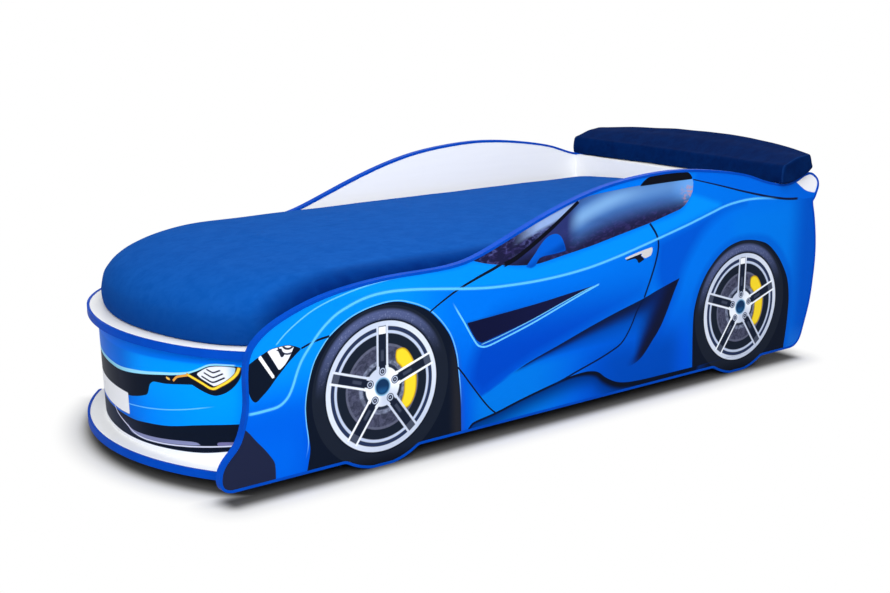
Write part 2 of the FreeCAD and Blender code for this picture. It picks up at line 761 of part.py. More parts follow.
slat_places = []
for index, x in enumerate(SLAT_MIDDLES):
    for y, carrier in ((size("rail_width") / 2 - INNER, "left_rail"), (0, "centre_beam"),
                       (INNER - size("rail_width") / 2, "right_rail")):
        slat_places.append(((x, y, DECK), down, ("slat_%02d" % (index + 1), carrier)))
screw_group("slat_screws", size("slat_screw"), slat_places)

LEG, WIDE, THIN = size("bracket_leg"), size("bracket_width"), size("bracket_thick")


def bracket(corner, first, second, boards):
    """Angle bracket in a corner of two boards, with one screw in each leg.

    corner is the middle of the corner line; first and second point along the legs, away from it.
    """
    a, b = Vector(*first), Vector(*second)
    across = a.cross(b)
    origin = Vector(*corner) - across * (WIDE / 2)
    profile = [Vector(), a * LEG, a * LEG + b * THIN, (a + b) * THIN, b * LEG + a * THIN, b * LEG, Vector()]
    solid = Part.Face(Part.makePolygon([origin + point for point in profile])).extrude(across * WIDE)
    holes, screws = [], []
    reach = LEG * 0.6
    for along, off, board in ((a, b, boards[0]), (b, a, boards[1])):
        place = Vector(*corner) + along * reach + off * THIN
        into = (-off.x, -off.y, -off.z)
        hole = screw_hole(SHORT, 1.0)
        hole.Placement = Placement(place, turned(into))
        holes.append(hole)
        screws.append(((place.x, place.y, place.z), into, (board,)))
    return solid.cut(holes), screws


BRACKETS = {"front_brackets": [], "middle_brackets": [], "rear_brackets": [], "spoiler_brackets": []}
cross_mid = (BULKHEAD_BACK + HEAD_X) / 2
head_back = HEAD_X + BOARD
cross_top = DECK - size("slat_thick") - size("rail_height")
cross_heights = [cross_top - size("cross_board_height") * share for share in (0.8, 0.23)]
head_foot, head_top = size("headboard_foot"), size("headboard_top")
head_heights = [head_foot + (head_top - head_foot) * share for share in (0.11, 0.5, 0.88)]
for side, sign in (("left", -1), ("right", 1)):
    panel = side + "_side_panel"
    wall_y = sign * INNER
    inward = (0, -sign, 0)
    for z in (BUMPER_TOP + PANEL_RISE * 0.2, BUMPER_TOP + PANEL_RISE * 0.66):
        BRACKETS["front_brackets"].append(((BULKHEAD_BACK, wall_y, z), (1, 0, 0), inward,
                                           (panel, "front_bulkhead")))
    for z in cross_heights:
        BRACKETS["middle_brackets"].append(((cross_mid + BOARD / 2, wall_y, z), (1, 0, 0), inward,
                                            (panel, "middle_cross_board")))
    for z in head_heights:
        BRACKETS["rear_brackets"].append(((head_back, wall_y, z), (1, 0, 0), inward, (panel, "headboard")))
    shelf_foot = size("shelf_top") - BOARD
    BRACKETS["spoiler_brackets"].append(((head_back, sign * 200.0, shelf_foot), (1, 0, 0), down,
                                         ("spoiler_shelf", "headboard")))

bracket_screws = []
for label, places in BRACKETS.items():
    shapes = []
    for corner, first, second, boards in places:
        shape, screws = bracket(corner, first, second, boards)
        shapes.append(shape)
        bracket_screws += screws
    group = DOC.addObject("Part::Feature", label)
    group.Shape = Part.makeCompound(shapes)
    node(group, label)
screw_group("bracket_screws", SHORT, bracket_screws)

screw_group("spoiler_screws", LONG, [
    ((head_back + size("shelf_depth") * 0.85, y, size("shelf_top") - BOARD), up,
     ("spoiler_shelf", "spoiler_cushion", "spoiler_core")) for y in (-300.0, 0.0, 300.0)])

for label, blank in BLANKS.items():
    drill(label, blank)

# ---------------------------------------------------------------- checks and export

DOC.recompute()
for obj in DOC.Objects:
    if "Invalid" in obj.State or "Error" in obj.State:
        raise RuntimeError("feature failed: " + obj.Label)
os.makedirs("parts", exist_ok=True)
for label, obj in NODES:
    shape = obj.Shape
    if shape.isNull() or not shape.isValid() or not shape.Solids:
        raise RuntimeError("bad shape: " + label)
    shape.exportStep(os.path.join("parts", label + ".step"))
    print("%-22s %3d solids %12.1f mm3" % (label, len(shape.Solids), shape.Volume))
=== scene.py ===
import math
from functools import partialmethod

import bmesh
import bpy
import numpy as np
from mathutils import Matrix, Vector, noise


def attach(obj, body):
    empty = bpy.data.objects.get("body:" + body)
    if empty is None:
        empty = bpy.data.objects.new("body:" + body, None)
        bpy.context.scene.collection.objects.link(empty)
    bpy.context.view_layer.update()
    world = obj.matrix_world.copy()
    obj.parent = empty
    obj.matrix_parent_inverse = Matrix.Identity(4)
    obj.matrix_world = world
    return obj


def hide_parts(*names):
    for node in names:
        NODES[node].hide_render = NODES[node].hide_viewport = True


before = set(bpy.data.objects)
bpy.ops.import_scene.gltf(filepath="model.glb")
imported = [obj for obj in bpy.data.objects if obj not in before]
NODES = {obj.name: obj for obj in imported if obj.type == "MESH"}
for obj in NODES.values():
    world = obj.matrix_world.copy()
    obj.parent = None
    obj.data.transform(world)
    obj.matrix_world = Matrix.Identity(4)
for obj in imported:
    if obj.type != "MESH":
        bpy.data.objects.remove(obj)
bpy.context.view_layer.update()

MM = 0.001

# ---- node expressions


def linear(colour):
    """Linear RGBA from 0-255 screen values."""
    def one(value):
        value /= 255
        return value / 12.92 if value <= 0.04045 else ((value + 0.055) / 1.055) ** 2.4
    return tuple(one(value) for value in colour) + (1.0,)


class Num:
    """A number in a node tree; arithmetic on it adds Math nodes."""

    def __init__(self, tree, socket):
        self.tree = tree
        self.socket = socket

    def op(self, kind, *others, clamp=False):
        """A Math node of that kind on this number and the others."""
        node = self.tree.add("ShaderNodeMath")
        node.operation = kind
        node.use_clamp = clamp
        for socket, value in zip(node.inputs, (self,) + others):
            self.tree.feed(socket, value)
        return Num(self.tree, node.outputs[0])

    __add__ = __radd__ = partialmethod(op, "ADD")
    __sub__ = partialmethod(op, "SUBTRACT")
    __mul__ = __rmul__ = partialmethod(op, "MULTIPLY")
    __truediv__ = partialmethod(op, "DIVIDE")
    __abs__ = partialmethod(op, "ABSOLUTE")
    low = partialmethod(op, "MINIMUM")
    high = partialmethod(op, "MAXIMUM")

    def __rsub__(self, other):
        return self.op("MULTIPLY", -1.0) + other

    def below(self, limit, soft=0.6):
        """1 where this is under the limit, 0 where it is over, with an edge as wide as soft."""
        return (limit - self).op("MULTIPLY_ADD", 1.0 / soft, 0.5, clamp=True)

    def between(self, start, end, soft=0.6):
        """1 from start to end and 0 outside them."""
        return self.below(end, soft) * (1.0 - self.below(start, soft))

    def invert(self):
        return 1.0 - self


def reach(a, b):
    """Distance from two sides of a right angle."""
    return (a * a + b * b).op("SQRT")


class Tree:
    """A node tree written as expressions."""

    def __init__(self, tree):
        self.tree = tree
        self._place = None

    def add(self, kind, **values):
        """A new node with the values of its inputs."""
        node = self.tree.nodes.new(kind)
        for name, value in values.items():
            self.feed(node.inputs[name.replace("_", " ")], value)
        return node

    def feed(self, socket, value):
        """Give a socket a number, a colour as 0-255 screen values, or another node's output."""
        if isinstance(value, Num):
            self.tree.links.new(value.socket, socket)
        elif hasattr(value, "is_output"):
            self.tree.links.new(value, socket)
        elif isinstance(value, tuple):
            socket.default_value = linear(value)
        else:
            socket.default_value = value

    def place(self):
        """Object coordinates as three numbers in millimetres."""
        if self._place is None:
            self._vector = self.add("ShaderNodeTexCoord").outputs["Object"]
            parts = self.add("ShaderNodeSeparateXYZ", Vector=self._vector)
            self._place = [Num(self, socket) * 1000.0 for socket in parts.outputs]
        return self._place

    def attribute(self, name, output):
        node = self.add("ShaderNodeAttribute")
        node.attribute_name = name
        return node.outputs[output]

    def distance(self, name):
        """Signed distance from an outline, or another stored number."""
        return Num(self, self.attribute(name, "Fac"))

    def line(self, name):
        """Signed distance from a line, distance along it, and distance left to its end."""
        parts = self.add("ShaderNodeSeparateXYZ", Vector=self.attribute(name, "Vector"))
        return [Num(self, socket) for socket in parts.outputs]

    def noise(self, size, detail=2.0, stretch=(1, 1, 1), roughness=0.5, distortion=0.0):
        """Noise from 0 to 1 whose blotches are about size millimetres across."""
        self.place()
        mapping = self.add("ShaderNodeMapping", Vector=self._vector)
        mapping.inputs["Scale"].default_value = tuple(1.0 / value for value in stretch)
        node = self.add("ShaderNodeTexNoise", Vector=mapping.outputs[0], Scale=1000.0 / size, Detail=detail,
                        Roughness=roughness, Distortion=distortion)
        return Num(self, node.outputs["Fac"])

    def mix(self, under, over, share):
        """One colour over another by a share of 0 to 1."""
        return self.add("ShaderNodeMixRGB", Fac=share, Color1=under, Color2=over).outputs["Color"]

    def ramp(self, number, start, end, low=0.0, high=1.0):
        """Soft rise from low at start to high at end."""
        node = self.add("ShaderNodeMapRange", Value=number, From_Min=start, From_Max=end, To_Min=low,
                        To_Max=high)
        node.interpolation_type = "SMOOTHSTEP"
        return Num(self, node.outputs["Result"])


class Shade(Tree):
    """A material with one main shader."""

    def __init__(self, name):
        self.material = bpy.data.materials.new(name)
        self.material.use_nodes = True
        super().__init__(self.material.node_tree)
        self.tree.nodes.clear()
        self.output = self.add("ShaderNodeOutputMaterial")
        self.shader = self.add("ShaderNodeBsdfPrincipled")
        self.feed(self.output.inputs[0], self.shader.outputs[0])

    def bump(self, height, depth, strength=1.0):
        """Bump from a height of 0 to 1 that stands for depth millimetres."""
        node = self.add("ShaderNodeBump", Strength=strength, Distance=depth * MM, Height=height)
        self.feed(self.shader.inputs["Normal"], node.outputs["Normal"])

    def set(self, **values):
        """Feed the shader's inputs and return the material."""
        for name, value in values.items():
            self.feed(self.shader.inputs[name.replace("_", " ").title().replace("Ior", "IOR")], value)
        return self.material


# ---- outlines of the print

def smooth_run(points, step=6.0):
    """Points along a soft curve through the given ones."""
    points = np.array(points, float)
    if len(points) < 3:
        return points
    padded = np.vstack([2 * points[0] - points[1], points, 2 * points[-1] - points[-2]])
    out = []
    for p0, p1, p2, p3 in zip(padded, padded[1:], padded[2:], padded[3:]):
        count = max(2, int(np.hypot(*(p2 - p1)) / step))
        for t in np.arange(count) / count:
            out.append(0.5 * (2 * p1 + (p2 - p0) * t + (2 * p0 - 5 * p1 + 4 * p2 - p3) * t ** 2
                              + (3 * p1 - p0 - 3 * p2 + p3) * t ** 3))
    out.append(points[-1])
    return np.array(out)


def outline(*runs):
    """Closed outline of smooth runs that meet at corners."""
    return np.vstack([smooth_run(run) for run in runs])


def nearest(places, start, end):
    """For every place: squared distance to the nearest segment, its number, and the share along it."""
    best = np.full(len(places), np.inf)
    which = np.zeros(len(places), int)
    share = np.zeros(len(places))
    for index, (a, b) in enumerate(zip(start, end)):
        ab = b - a
        size = max(ab @ ab, 1e-12)
        t = np.clip((places - a) @ ab / size, 0, 1)
        gap = places - a - t[:, None] * ab
        square = (gap * gap).sum(1)
        nearer = square < best
        best[nearer], which[nearer], share[nearer] = square[nearer], index, t[nearer]
    return best, which, share


def area_distance(places, loop):
    """Signed distance to a closed outline, below zero inside."""
    start, end = loop, np.roll(loop, -1, axis=0)
    square = nearest(places, start, end)[0]
    inside = np.zeros(len(places), bool)
    x, z = places[:, 0], places[:, 1]
    for a, b in zip(start, end):
        if a[1] != b[1]:
            crossing = (a[1] > z) != (b[1] > z)
            inside ^= crossing & (x < (b[0] - a[0]) * (z - a[1]) / (b[1] - a[1]) + a[0])
    return np.where(inside, -1, 1) * np.sqrt(square)


def path_distance(places, path):
    """Signed distance from an open line, how far along it, and how far it is to its end."""
    start, end = path[:-1], path[1:]
    lengths = np.hypot(*(end - start).T)
    run = np.concatenate([[0], np.cumsum(lengths)])
    square, which, share = nearest(places, start, end)
    along = (end - start)[which]
    offset = places - start[which]
    side = np.sign(along[:, 0] * offset[:, 1] - along[:, 1] * offset[:, 0])
    s = run[which] + share * lengths[which]
    first = ((places - start[0]) @ (end - start)[0]) / lengths[0]
    last = ((places - end[-1]) @ (end - start)[-1]) / lengths[-1]
    s = np.where((which == 0) & (share <= 0), first, s)
    s = np.where((which == len(start) - 1) & (share >= 1), run[-1] + last, s)
    return np.stack([side * np.sqrt(square), s, run[-1] - s], axis=1)


FRONT_AXLE, REAR_AXLE, AXLE_Z = -561.0, 709.4, 193.8


def on_both_wheels(points):
    """The same outline about both axles."""
    return [[(x + axle, z + AXLE_Z) for x, z in points] for axle in (FRONT_AXLE, REAR_AXLE)]


# The side's print in millimetres, x towards the tail and z up. An area is a list of smooth runs that meet
# at corners, and a line is one run.
SIDE_AREAS = {
    "front_arch": [
        [(-775, 20), (-768, 50), (-762, 85), (-767, 130), (-772, 180), (-767, 222), (-753, 273),
         (-733, 307), (-705, 338), (-660, 367), (-620, 382), (-580, 390), (-540, 393), (-510, 390),
         (-487, 383), (-453, 370), (-422, 352), (-387, 318), (-360, 280), (-343, 233), (-336, 190),
         (-330, 140), (-327, 100), (-325, 20)],
        [(-325, -5), (-775, -5)]],
    "rear_arch": [
        [(514, 20), (511, 80), (508, 140), (508, 200), (516, 240), (532, 280), (560, 320), (600, 356),
         (640, 378), (680, 388), (712, 390), (760, 384), (810, 369), (845, 345), (879, 311), (910, 266),
         (924, 231), (931, 189), (931, 148), (928, 99), (921, 45), (919, 20)],
        [(919, -5), (514, -5)]],
    "headlight": [
        [(-913, 310), (-889, 322), (-867, 331.5), (-853, 335.5), (-832, 337.5), (-812, 337),
         (-795, 331), (-779, 323.5)],
        [(-779, 323.5), (-791, 314.5), (-812, 298), (-830, 281), (-849, 263), (-865, 246), (-886, 229)],
        [(-886, 229), (-893, 223.5), (-900, 222), (-908, 230), (-914, 244), (-917, 262), (-916, 285),
         (-913, 310)]],
    "lamp_bar": [[(-890, 321), (-882.5, 325)], [(-848, 270.5), (-855, 268)]],
    "lamp_glass": [
        [(-866, 331), (-853, 334.5), (-832, 336), (-812, 335.5), (-799, 330)],
        [(-799, 330), (-812, 307), (-826, 291), (-838, 284)], [(-838, 284), (-851, 306), (-866, 331)]],
    "lamp_dark": [
        [(-846, 331), (-838, 326), (-834, 316), (-829, 310)], [(-822, 318), (-828, 326), (-830, 333)]],
    "bumper_patch": [
        [(-927, 166), (-915.6, 154), (-900, 134), (-880, 111), (-866, 92), (-856, 76), (-853, 60),
         (-853, 25)],
        [(-853, 0), (-1010, 0)], [(-1010, 60), (-1000, 120), (-950, 166)]],
    "vent": [
        [(-310, 306.5), (-100, 320), (40, 333), (136, 342)],
        [(136, 342), (60, 325), (0, 311), (-100, 283), (-200, 261), (-262, 249)],
        [(-262, 249), (-276, 256), (-288, 270), (-310, 306.5)]],
    "window": [
        [(-292, 458), (-215, 487), (-120, 522), (-40, 548), (20, 565), (60, 573), (100, 579),
         (180, 584), (276, 588), (472, 588)],
        [(472, 588), (479, 583), (481, 570), (478, 550), (466, 532), (450, 517), (432, 508)],
        [(432, 508), (380, 497), (320, 484), (200, 464), (100, 447), (0, 434), (-80, 424), (-140, 427),
         (-200, 436), (-255, 447), (-292, 458)]],
    "roof_patch": [
        [(272, 586), (285, 597), (305, 607), (340, 611), (400, 611.5), (440, 610), (462, 605), (476, 592)],
        [(476, 587), (400, 587), (300, 586)]],
    "mirror": [
        [(-122, 421), (-108, 436), (-92, 452), (-76, 470), (-60, 484), (-40, 492.5), (-20, 492.5),
         (-6, 484), (4, 468), (12, 446)],
        [(12, 446), (-20, 443), (-70, 440), (-84, 432), (-90, 421)],
        [(-90, 421), (-105, 416), (-122, 421)]],
    "handle": [
        [(227, 399), (267, 407), (297, 412), (327, 416)], [(327, 416), (331, 412), (329, 401), (325, 394)],
        [(325, 394), (304, 389), (294, 394), (286, 399)],
        [(286, 399), (293, 404), (267, 400), (230, 394)]],
    "handle_dark": [
        [(230, 394), (267, 400), (293, 404)], [(293, 404), (286, 399), (302, 387)],
        [(302, 387), (291, 382), (279, 378)], [(279, 378), (266, 392), (232, 390)]],
    "fin_patch": [
        [(929, 539), (945, 549), (962, 553.5), (987, 556), (1004, 554), (1020, 547), (1029, 535),
         (1031, 520), (1027, 507), (1022, 498)],
        [(1022, 498), (1007, 500.5), (980, 508), (958, 520), (929, 539)]],
    "door_shade": [
        [(-255, 300), (-200, 345), (-60, 362), (80, 366), (200, 380), (330, 412), (345, 380),
         (335, 330), (300, 285)],
        [(300, 285), (200, 258), (100, 232), (0, 205), (-100, 178), (-200, 140), (-263, 112)],
        [(-263, 112), (-300, 170), (-255, 300)]],
    "quarter_shade": [
        [(350, 430), (450, 455), (560, 482), (650, 496), (705, 499)],
        [(705, 499), (640, 490), (580, 466), (530, 430), (490, 385), (460, 340), (446, 300), (430, 260),
         (410, 230), (385, 180), (350, 140)],
        [(350, 140), (340, 200), (380, 260), (350, 330), (350, 430)]],
    "rear_flare": [
        [(500, 60), (492, 140), (492, 205), (500, 250), (518, 292), (548, 334), (592, 372), (640, 395),
         (690, 405), (760, 402), (820, 388), (870, 355), (905, 315), (935, 260), (946, 200), (944, 120),
         (935, 40)],
        [(920, 0), (500, 0)]],
    "shoulder_light": [
        [(-700, 425), (-600, 441), (-450, 446), (-350, 447), (-290, 456)],
        [(-290, 456), (-220, 440), (-120, 420), (0, 428), (120, 445), (300, 475), (430, 500), (480, 545)],
        [(480, 545), (560, 520), (600, 500), (500, 472), (300, 428), (100, 392), (-100, 382),
         (-300, 392), (-450, 412), (-560, 419), (-700, 425)]],
}

CALIPER = [(39, 82), (52, 86), (66, 82), (78, 70), (91, 46), (99, 12), (98, -22), (91, -44), (80, -60),
           (66, -66), (54, -62), (52, -50), (60, -26), (62, 2), (60, 24), (52, 40), (42, 50), (37, 64)]
for name, points in zip(("front_caliper", "rear_caliper"), on_both_wheels(CALIPER)):
    SIDE_AREAS[name] = [points + points[:1]]

SIDE_LINES = {
    "pin_upper": [(-845, 341), (-820, 363), (-787, 385), (-753, 403), (-720, 415.5), (-680, 426),
                  (-620, 438), (-553, 445.5), (-490, 448)],
    "pin_lower": [(-920, 198), (-895, 197.5), (-870, 198.5), (-848, 200), (-831, 206), (-815, 220),
                  (-803, 242), (-790, 275), (-775, 302), (-745, 338), (-720, 363), (-687, 386),
                  (-653, 400), (-620, 410), (-580, 416.5), (-530, 417.5), (-470, 413), (-420, 407),
                  (-370, 400.5), (-320, 393.5), (-260, 386.5), (-200, 382.5), (-100, 380), (0, 382.5),
                  (100, 391), (200, 406.5), (300, 426), (400, 447), (480, 464.5), (560, 484),
                  (620, 498), (680, 505), (740, 506.5), (800, 502), (862, 493)],
    "hood_seam": [(-781, 323), (-755, 331.5), (-730, 336.5), (-704, 339.5)],
    "door_upper": [(-424, 351), (-387, 371), (-340, 393), (-280, 414), (-225, 431), (-190, 444)],
    "door_lower": [(-339, 202), (-320, 180), (-300, 154), (-260, 104), (-235, 76), (-214, 58)],
    "vent_edge": [(-356, 367), (-338, 339), (-318, 309), (-297, 275), (-281, 252), (-272, 243),
                  (-255, 237.5), (-235, 239), (-200, 247), (-100, 272), (0, 302), (80, 326), (136, 342)],
    "vent_edge_inner": [(-266, 244.5), (-235, 250), (-200, 257), (-100, 281), (0, 309), (80, 331),
                        (128, 341)],
    "door_bottom": [(-30, 93), (20, 105), (60, 116), (140, 136), (195, 153), (222, 165), (243, 185),
                    (262, 213), (280, 247), (305, 278)],
    "door_rear": [(305, 278), (318, 306), (332, 338), (344, 370), (352, 400), (353, 425), (346, 445),
                  (332, 464), (314, 484)],
    "rear_crease": [(478, 586), (520, 576), (600, 556.5), (700, 531), (800, 508), (862, 496),
                    (900, 490.5), (948, 487)],
    "front_arch_edge": [(-775, 60), (-766, 100), (-771, 150), (-772, 190), (-765, 232), (-750, 280),
                        (-730, 312), (-700, 344), (-655, 371), (-615, 385), (-575, 392.5), (-540, 395),
                        (-508, 392), (-483, 385), (-450, 372), (-418, 353), (-384, 320), (-357, 281),
                        (-341, 236), (-334, 190), (-328, 140), (-325, 90)],
    "window_glow": [(20, 512), (60, 526), (110, 543), (170, 558), (240, 568), (320, 574), (400, 577),
                    (470, 578)],
    "pillar": [(52, 568), (6, 538), (-36, 511), (-78, 487), (-119, 465), (-159, 446), (-199, 434)],
    "swoosh_top": [(-165, 152), (-100, 174), (0, 201), (100, 229), (200, 254.5), (300, 277), (360, 294),
                   (443, 315)],
    "blade_edge": [(443, 315), (428, 288), (413, 258), (398, 228), (380, 196), (362, 172), (345, 154),
                   (320, 127), (298, 109), (270, 98), (240, 95)],
    "sill_top": [(-305, 34), (-295, 45), (-280, 51), (-214, 61), (-140, 77), (-60, 92), (20, 105),
                 (80, 110), (120, 107), (145, 98), (170, 80), (212, 60), (260, 51), (330, 48),
                 (400, 47.5), (520, 47)],
    "lower_crease": [(-263, 112), (-200, 138), (-150, 156)],
}

# ---- printed sheets

CELL = 4.0
# The side panels' outer faces, and how proud of the boards the printed sheets lie.
PANEL_FACE = 418.0
SIDE_PROUD, FRONT_PROUD = 0.25, 0.3
# The first column and row lie this far inside the panel's box, a cell's corners stay this far inside the
# edge of its face, and a point of the board is on its face within the slack.
GRID_START, EDGE_MARGIN, FACE_SLACK = (0.5, 0.3), 0.2, 0.01


def face_loop(obj, is_on_face):
    """Longest boundary of a CAD node's faces that lie on one plane, as 3D points."""
    mesh = obj.data
    flat = [polygon for polygon in mesh.polygons
            if all(is_on_face(mesh.vertices[v].co) for v in polygon.vertices)]
    counts = {}
    for polygon in flat:
        for a, b in polygon.edge_keys:
            counts[(a, b)] = counts.get((a, b), 0) + 1
    follow = {}
    for (a, b), count in counts.items():
        if count == 1:
            follow.setdefault(a, []).append(b)
            follow.setdefault(b, []).append(a)
    loops, seen = [], set()
    for start in follow:
        if start in seen:
            continue
        loop, current = [], start
        while current is not None:
            seen.add(current)
            loop.append(current)
            current = next((n for n in follow[current] if n not in seen), None)
        loops.append(loop)
    longest = max(loops, key=len)
    return np.array([mesh.vertices[v].co[:] for v in longest])


def new_object(name, vertices, faces, body="bed"):
    """A mesh object that rides on one of the two bodies."""
    mesh = bpy.data.meshes.new(name)
    mesh.from_pydata([tuple(v) for v in vertices], [], [tuple(f) for f in faces])
    mesh.update()
    obj = bpy.data.objects.new(name, mesh)
    bpy.context.scene.collection.objects.link(obj)
    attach(obj, body)
    return obj


def store(obj, name, values):
    """Store one number or one triple for every vertex."""
    kind, field = ("FLOAT", "value") if values.ndim == 1 else ("FLOAT_VECTOR", "vector")
    data = obj.data.attributes.new(name, kind, "POINT").data
    data.foreach_set(field, np.ascontiguousarray(values, np.float32).ravel())


def store_shapes(obj, places, areas, lines):
    """Store the distances of the sheet's points to every outline and line."""
    for name, runs in areas.items():
        store(obj, name, area_distance(places, outline(*runs)))
    for name, path in lines.items():
        store(obj, name, path_distance(places, smooth_run(path)))


def side_sheet(side, sign, material):
    """The printed face of a side panel: a fine sheet just proud of its board."""
    board = NODES[side + "_side_panel"]
    loop = face_loop(board, lambda co: co.y * sign > (PANEL_FACE - FACE_SLACK) * MM)[:, [0, 2]] / MM
    low, high = loop.min(0), loop.max(0)
    xs, zs = (np.arange(low[i] + GRID_START[i], high[i], CELL) for i in (0, 1))
    grid = np.stack(np.meshgrid(xs, zs, indexing="ij"), -1).reshape(-1, 2)
    inside = (area_distance(grid, loop) < -EDGE_MARGIN).reshape(len(xs), len(zs))
    cells = inside[:-1, :-1] & inside[1:, :-1] & inside[1:, 1:] & inside[:-1, 1:]
    index = np.arange(grid.shape[0]).reshape(len(xs), len(zs))
    i, j = np.nonzero(cells)
    quads = np.stack([index[i, j], index[i + 1, j], index[i + 1, j + 1], index[i, j + 1]], 1)
    used = np.unique(quads)
    renumber = np.zeros(len(grid), int)
    renumber[used] = np.arange(len(used))
    places, quads = grid[used], renumber[quads][:, ::-sign]
    face = np.full(len(places), sign * (PANEL_FACE + SIDE_PROUD))
    points = np.stack([places[:, 0], face, places[:, 1]], 1) * MM
    obj = new_object(side + "_print", points, quads)
    store_shapes(obj, places, SIDE_AREAS, SIDE_LINES)
    obj.data.materials.append(material)


BLUE = (0, 112, 230)
BLUE_LIGHT = (4, 142, 246)
BLUE_DEEP = (0, 76, 208)
SKY_LINE = (105, 196, 255)
INK = (14, 22, 38)
NAVY = (20, 24, 62)
# Lighter blue of the painted highlight along the spoiler cushion's end seams.
SEAM_HIGHLIGHT_BLUE = (30, 70, 132)
GROUND = (10, 14, 26)
FRAME = (13, 15, 26)
SLATE = (24, 32, 50)
GREY = (130, 140, 166)

# How wide the soft edges of painted lines and areas are.
EDGE_SOFT = 0.9


class Print(Shade):
    """A printed face, whose colours are laid one over the other."""

    def __init__(self, name):
        super().__init__(name)
        self.x, _, self.z = self.place()
        self.colour = None

    def lay(self, colour, share):
        """Lay a colour over what is painted already."""
        self.colour = self.mix(self.colour, colour, share)

    def mask(self, name, soft=EDGE_SOFT):
        """1 inside an outline and 0 outside it."""
        return self.distance(name).below(0, soft)

    def stroke(self, name, width, fade_in=4, fade_out=4, end_width=None):
        """Mask of a line of the given width that fades towards its ends."""
        gap, run, rest = self.line(name)
        half = width / 2
        if end_width is not None:
            half = self.ramp(run / (run + rest), 0, 1, width / 2, end_width / 2)
        body = (half - abs(gap)).op("MULTIPLY_ADD", 1 / EDGE_SOFT, 0.5, clamp=True)
        return body * self.ramp(run, 0, fade_in) * self.ramp(rest, 0, fade_out)

    def laminate(self):
        """Satin laminate with a very fine grain over the print."""
        grain = self.noise(0.9)
        self.bump(grain, 0.03, 0.25)
        return self.set(base_color=self.colour, roughness=0.34 + grain * 0.08, specular_ior_level=0.01)


def paint_body(p):
    """The side's blues: lighter shoulders, darker hollows and the flare of the rear wheel."""
    x, z, ramp, mask = p.x, p.z, p.ramp, p.mask
    p.colour = p.mix(BLUE_DEEP, BLUE, ramp(z, 90, 330, 0.15, 1))
    p.lay(BLUE_LIGHT, ramp(x, -330, -520, 0, 0.75) * ramp(z, 180, 300))
    p.lay((0, 96, 222), ramp(x, -830, -780, 1, 0.6) * ramp(x, -760, -790) * ramp(z, 210, 90))
    p.lay(BLUE_LIGHT, mask("shoulder_light", 16) * 0.85)
    p.lay((0, 66, 188), mask("door_shade", 46) * ramp(z, 380, 210, 0.1, 0.95))
    under_shade = p.distance("door_shade").invert().below(0.5, 6)
    p.lay((2, 118, 222), ramp(x, 160, -120, 0, 0.9) * ramp(x, -330, -250) * ramp(z, 190, 150) * under_shade)
    p.lay((0, 80, 202), mask("quarter_shade", 40) * 0.9)
    p.lay((0, 66, 166), ramp(x, 20, 230, 0, 0.75) * ramp(x, 490, 400) * ramp(z, 220, 110))
    p.lay((0, 118, 230), ramp(x, 620, 700, 0, 0.8) * ramp(z, 500, 440))
    p.lay((0, 90, 208), mask("rear_flare", 16) * 0.7)
    p.lay((0, 74, 190), ramp(x, 890, 1000, 0, 0.85))
    p.lay((0, 98, 222), ramp(p.line("rear_crease")[0], -2, 2) * ramp(x, 484, 500) * 0.8)
    p.lay((30, 112, 214), ramp(z, 110, 40, 0, 0.6) * ramp(x, 925, 960))
    p.lay((0, 60, 190), p.stroke("lower_crease", 7, 30, 60) * 0.5)


def paint_arches(p):
    """The dark wheel arches, with a light edge round the front one."""
    for name in ("front_arch", "rear_arch"):
        p.lay(INK, p.mask(name))
    p.lay((60, 56, 52), p.mask("front_arch", 30) * p.ramp(p.x, -370, -330, 0, 0.35) * p.ramp(p.z, 340, 240))
    p.lay((120, 205, 255), p.stroke("front_arch_edge", 2.6, 60, 90) * 0.75)


# Rings of the printed wheels, from the outside in, and the places of what is on them.
TYRE_R = 194.0
RIM_RING, GROOVE_RING, INNER_RING = (144.5, 157), (135.5, 144), (127.5, 134.5)
DISC_R, STAR_R, CAP_R, BOLT_PLACE = 103, 48, 19.5, 37
SPOKES = 5
# The two bright lines of a spoke lie this far from its middle.
SPOKE_LINE = (10.9, 16.3)


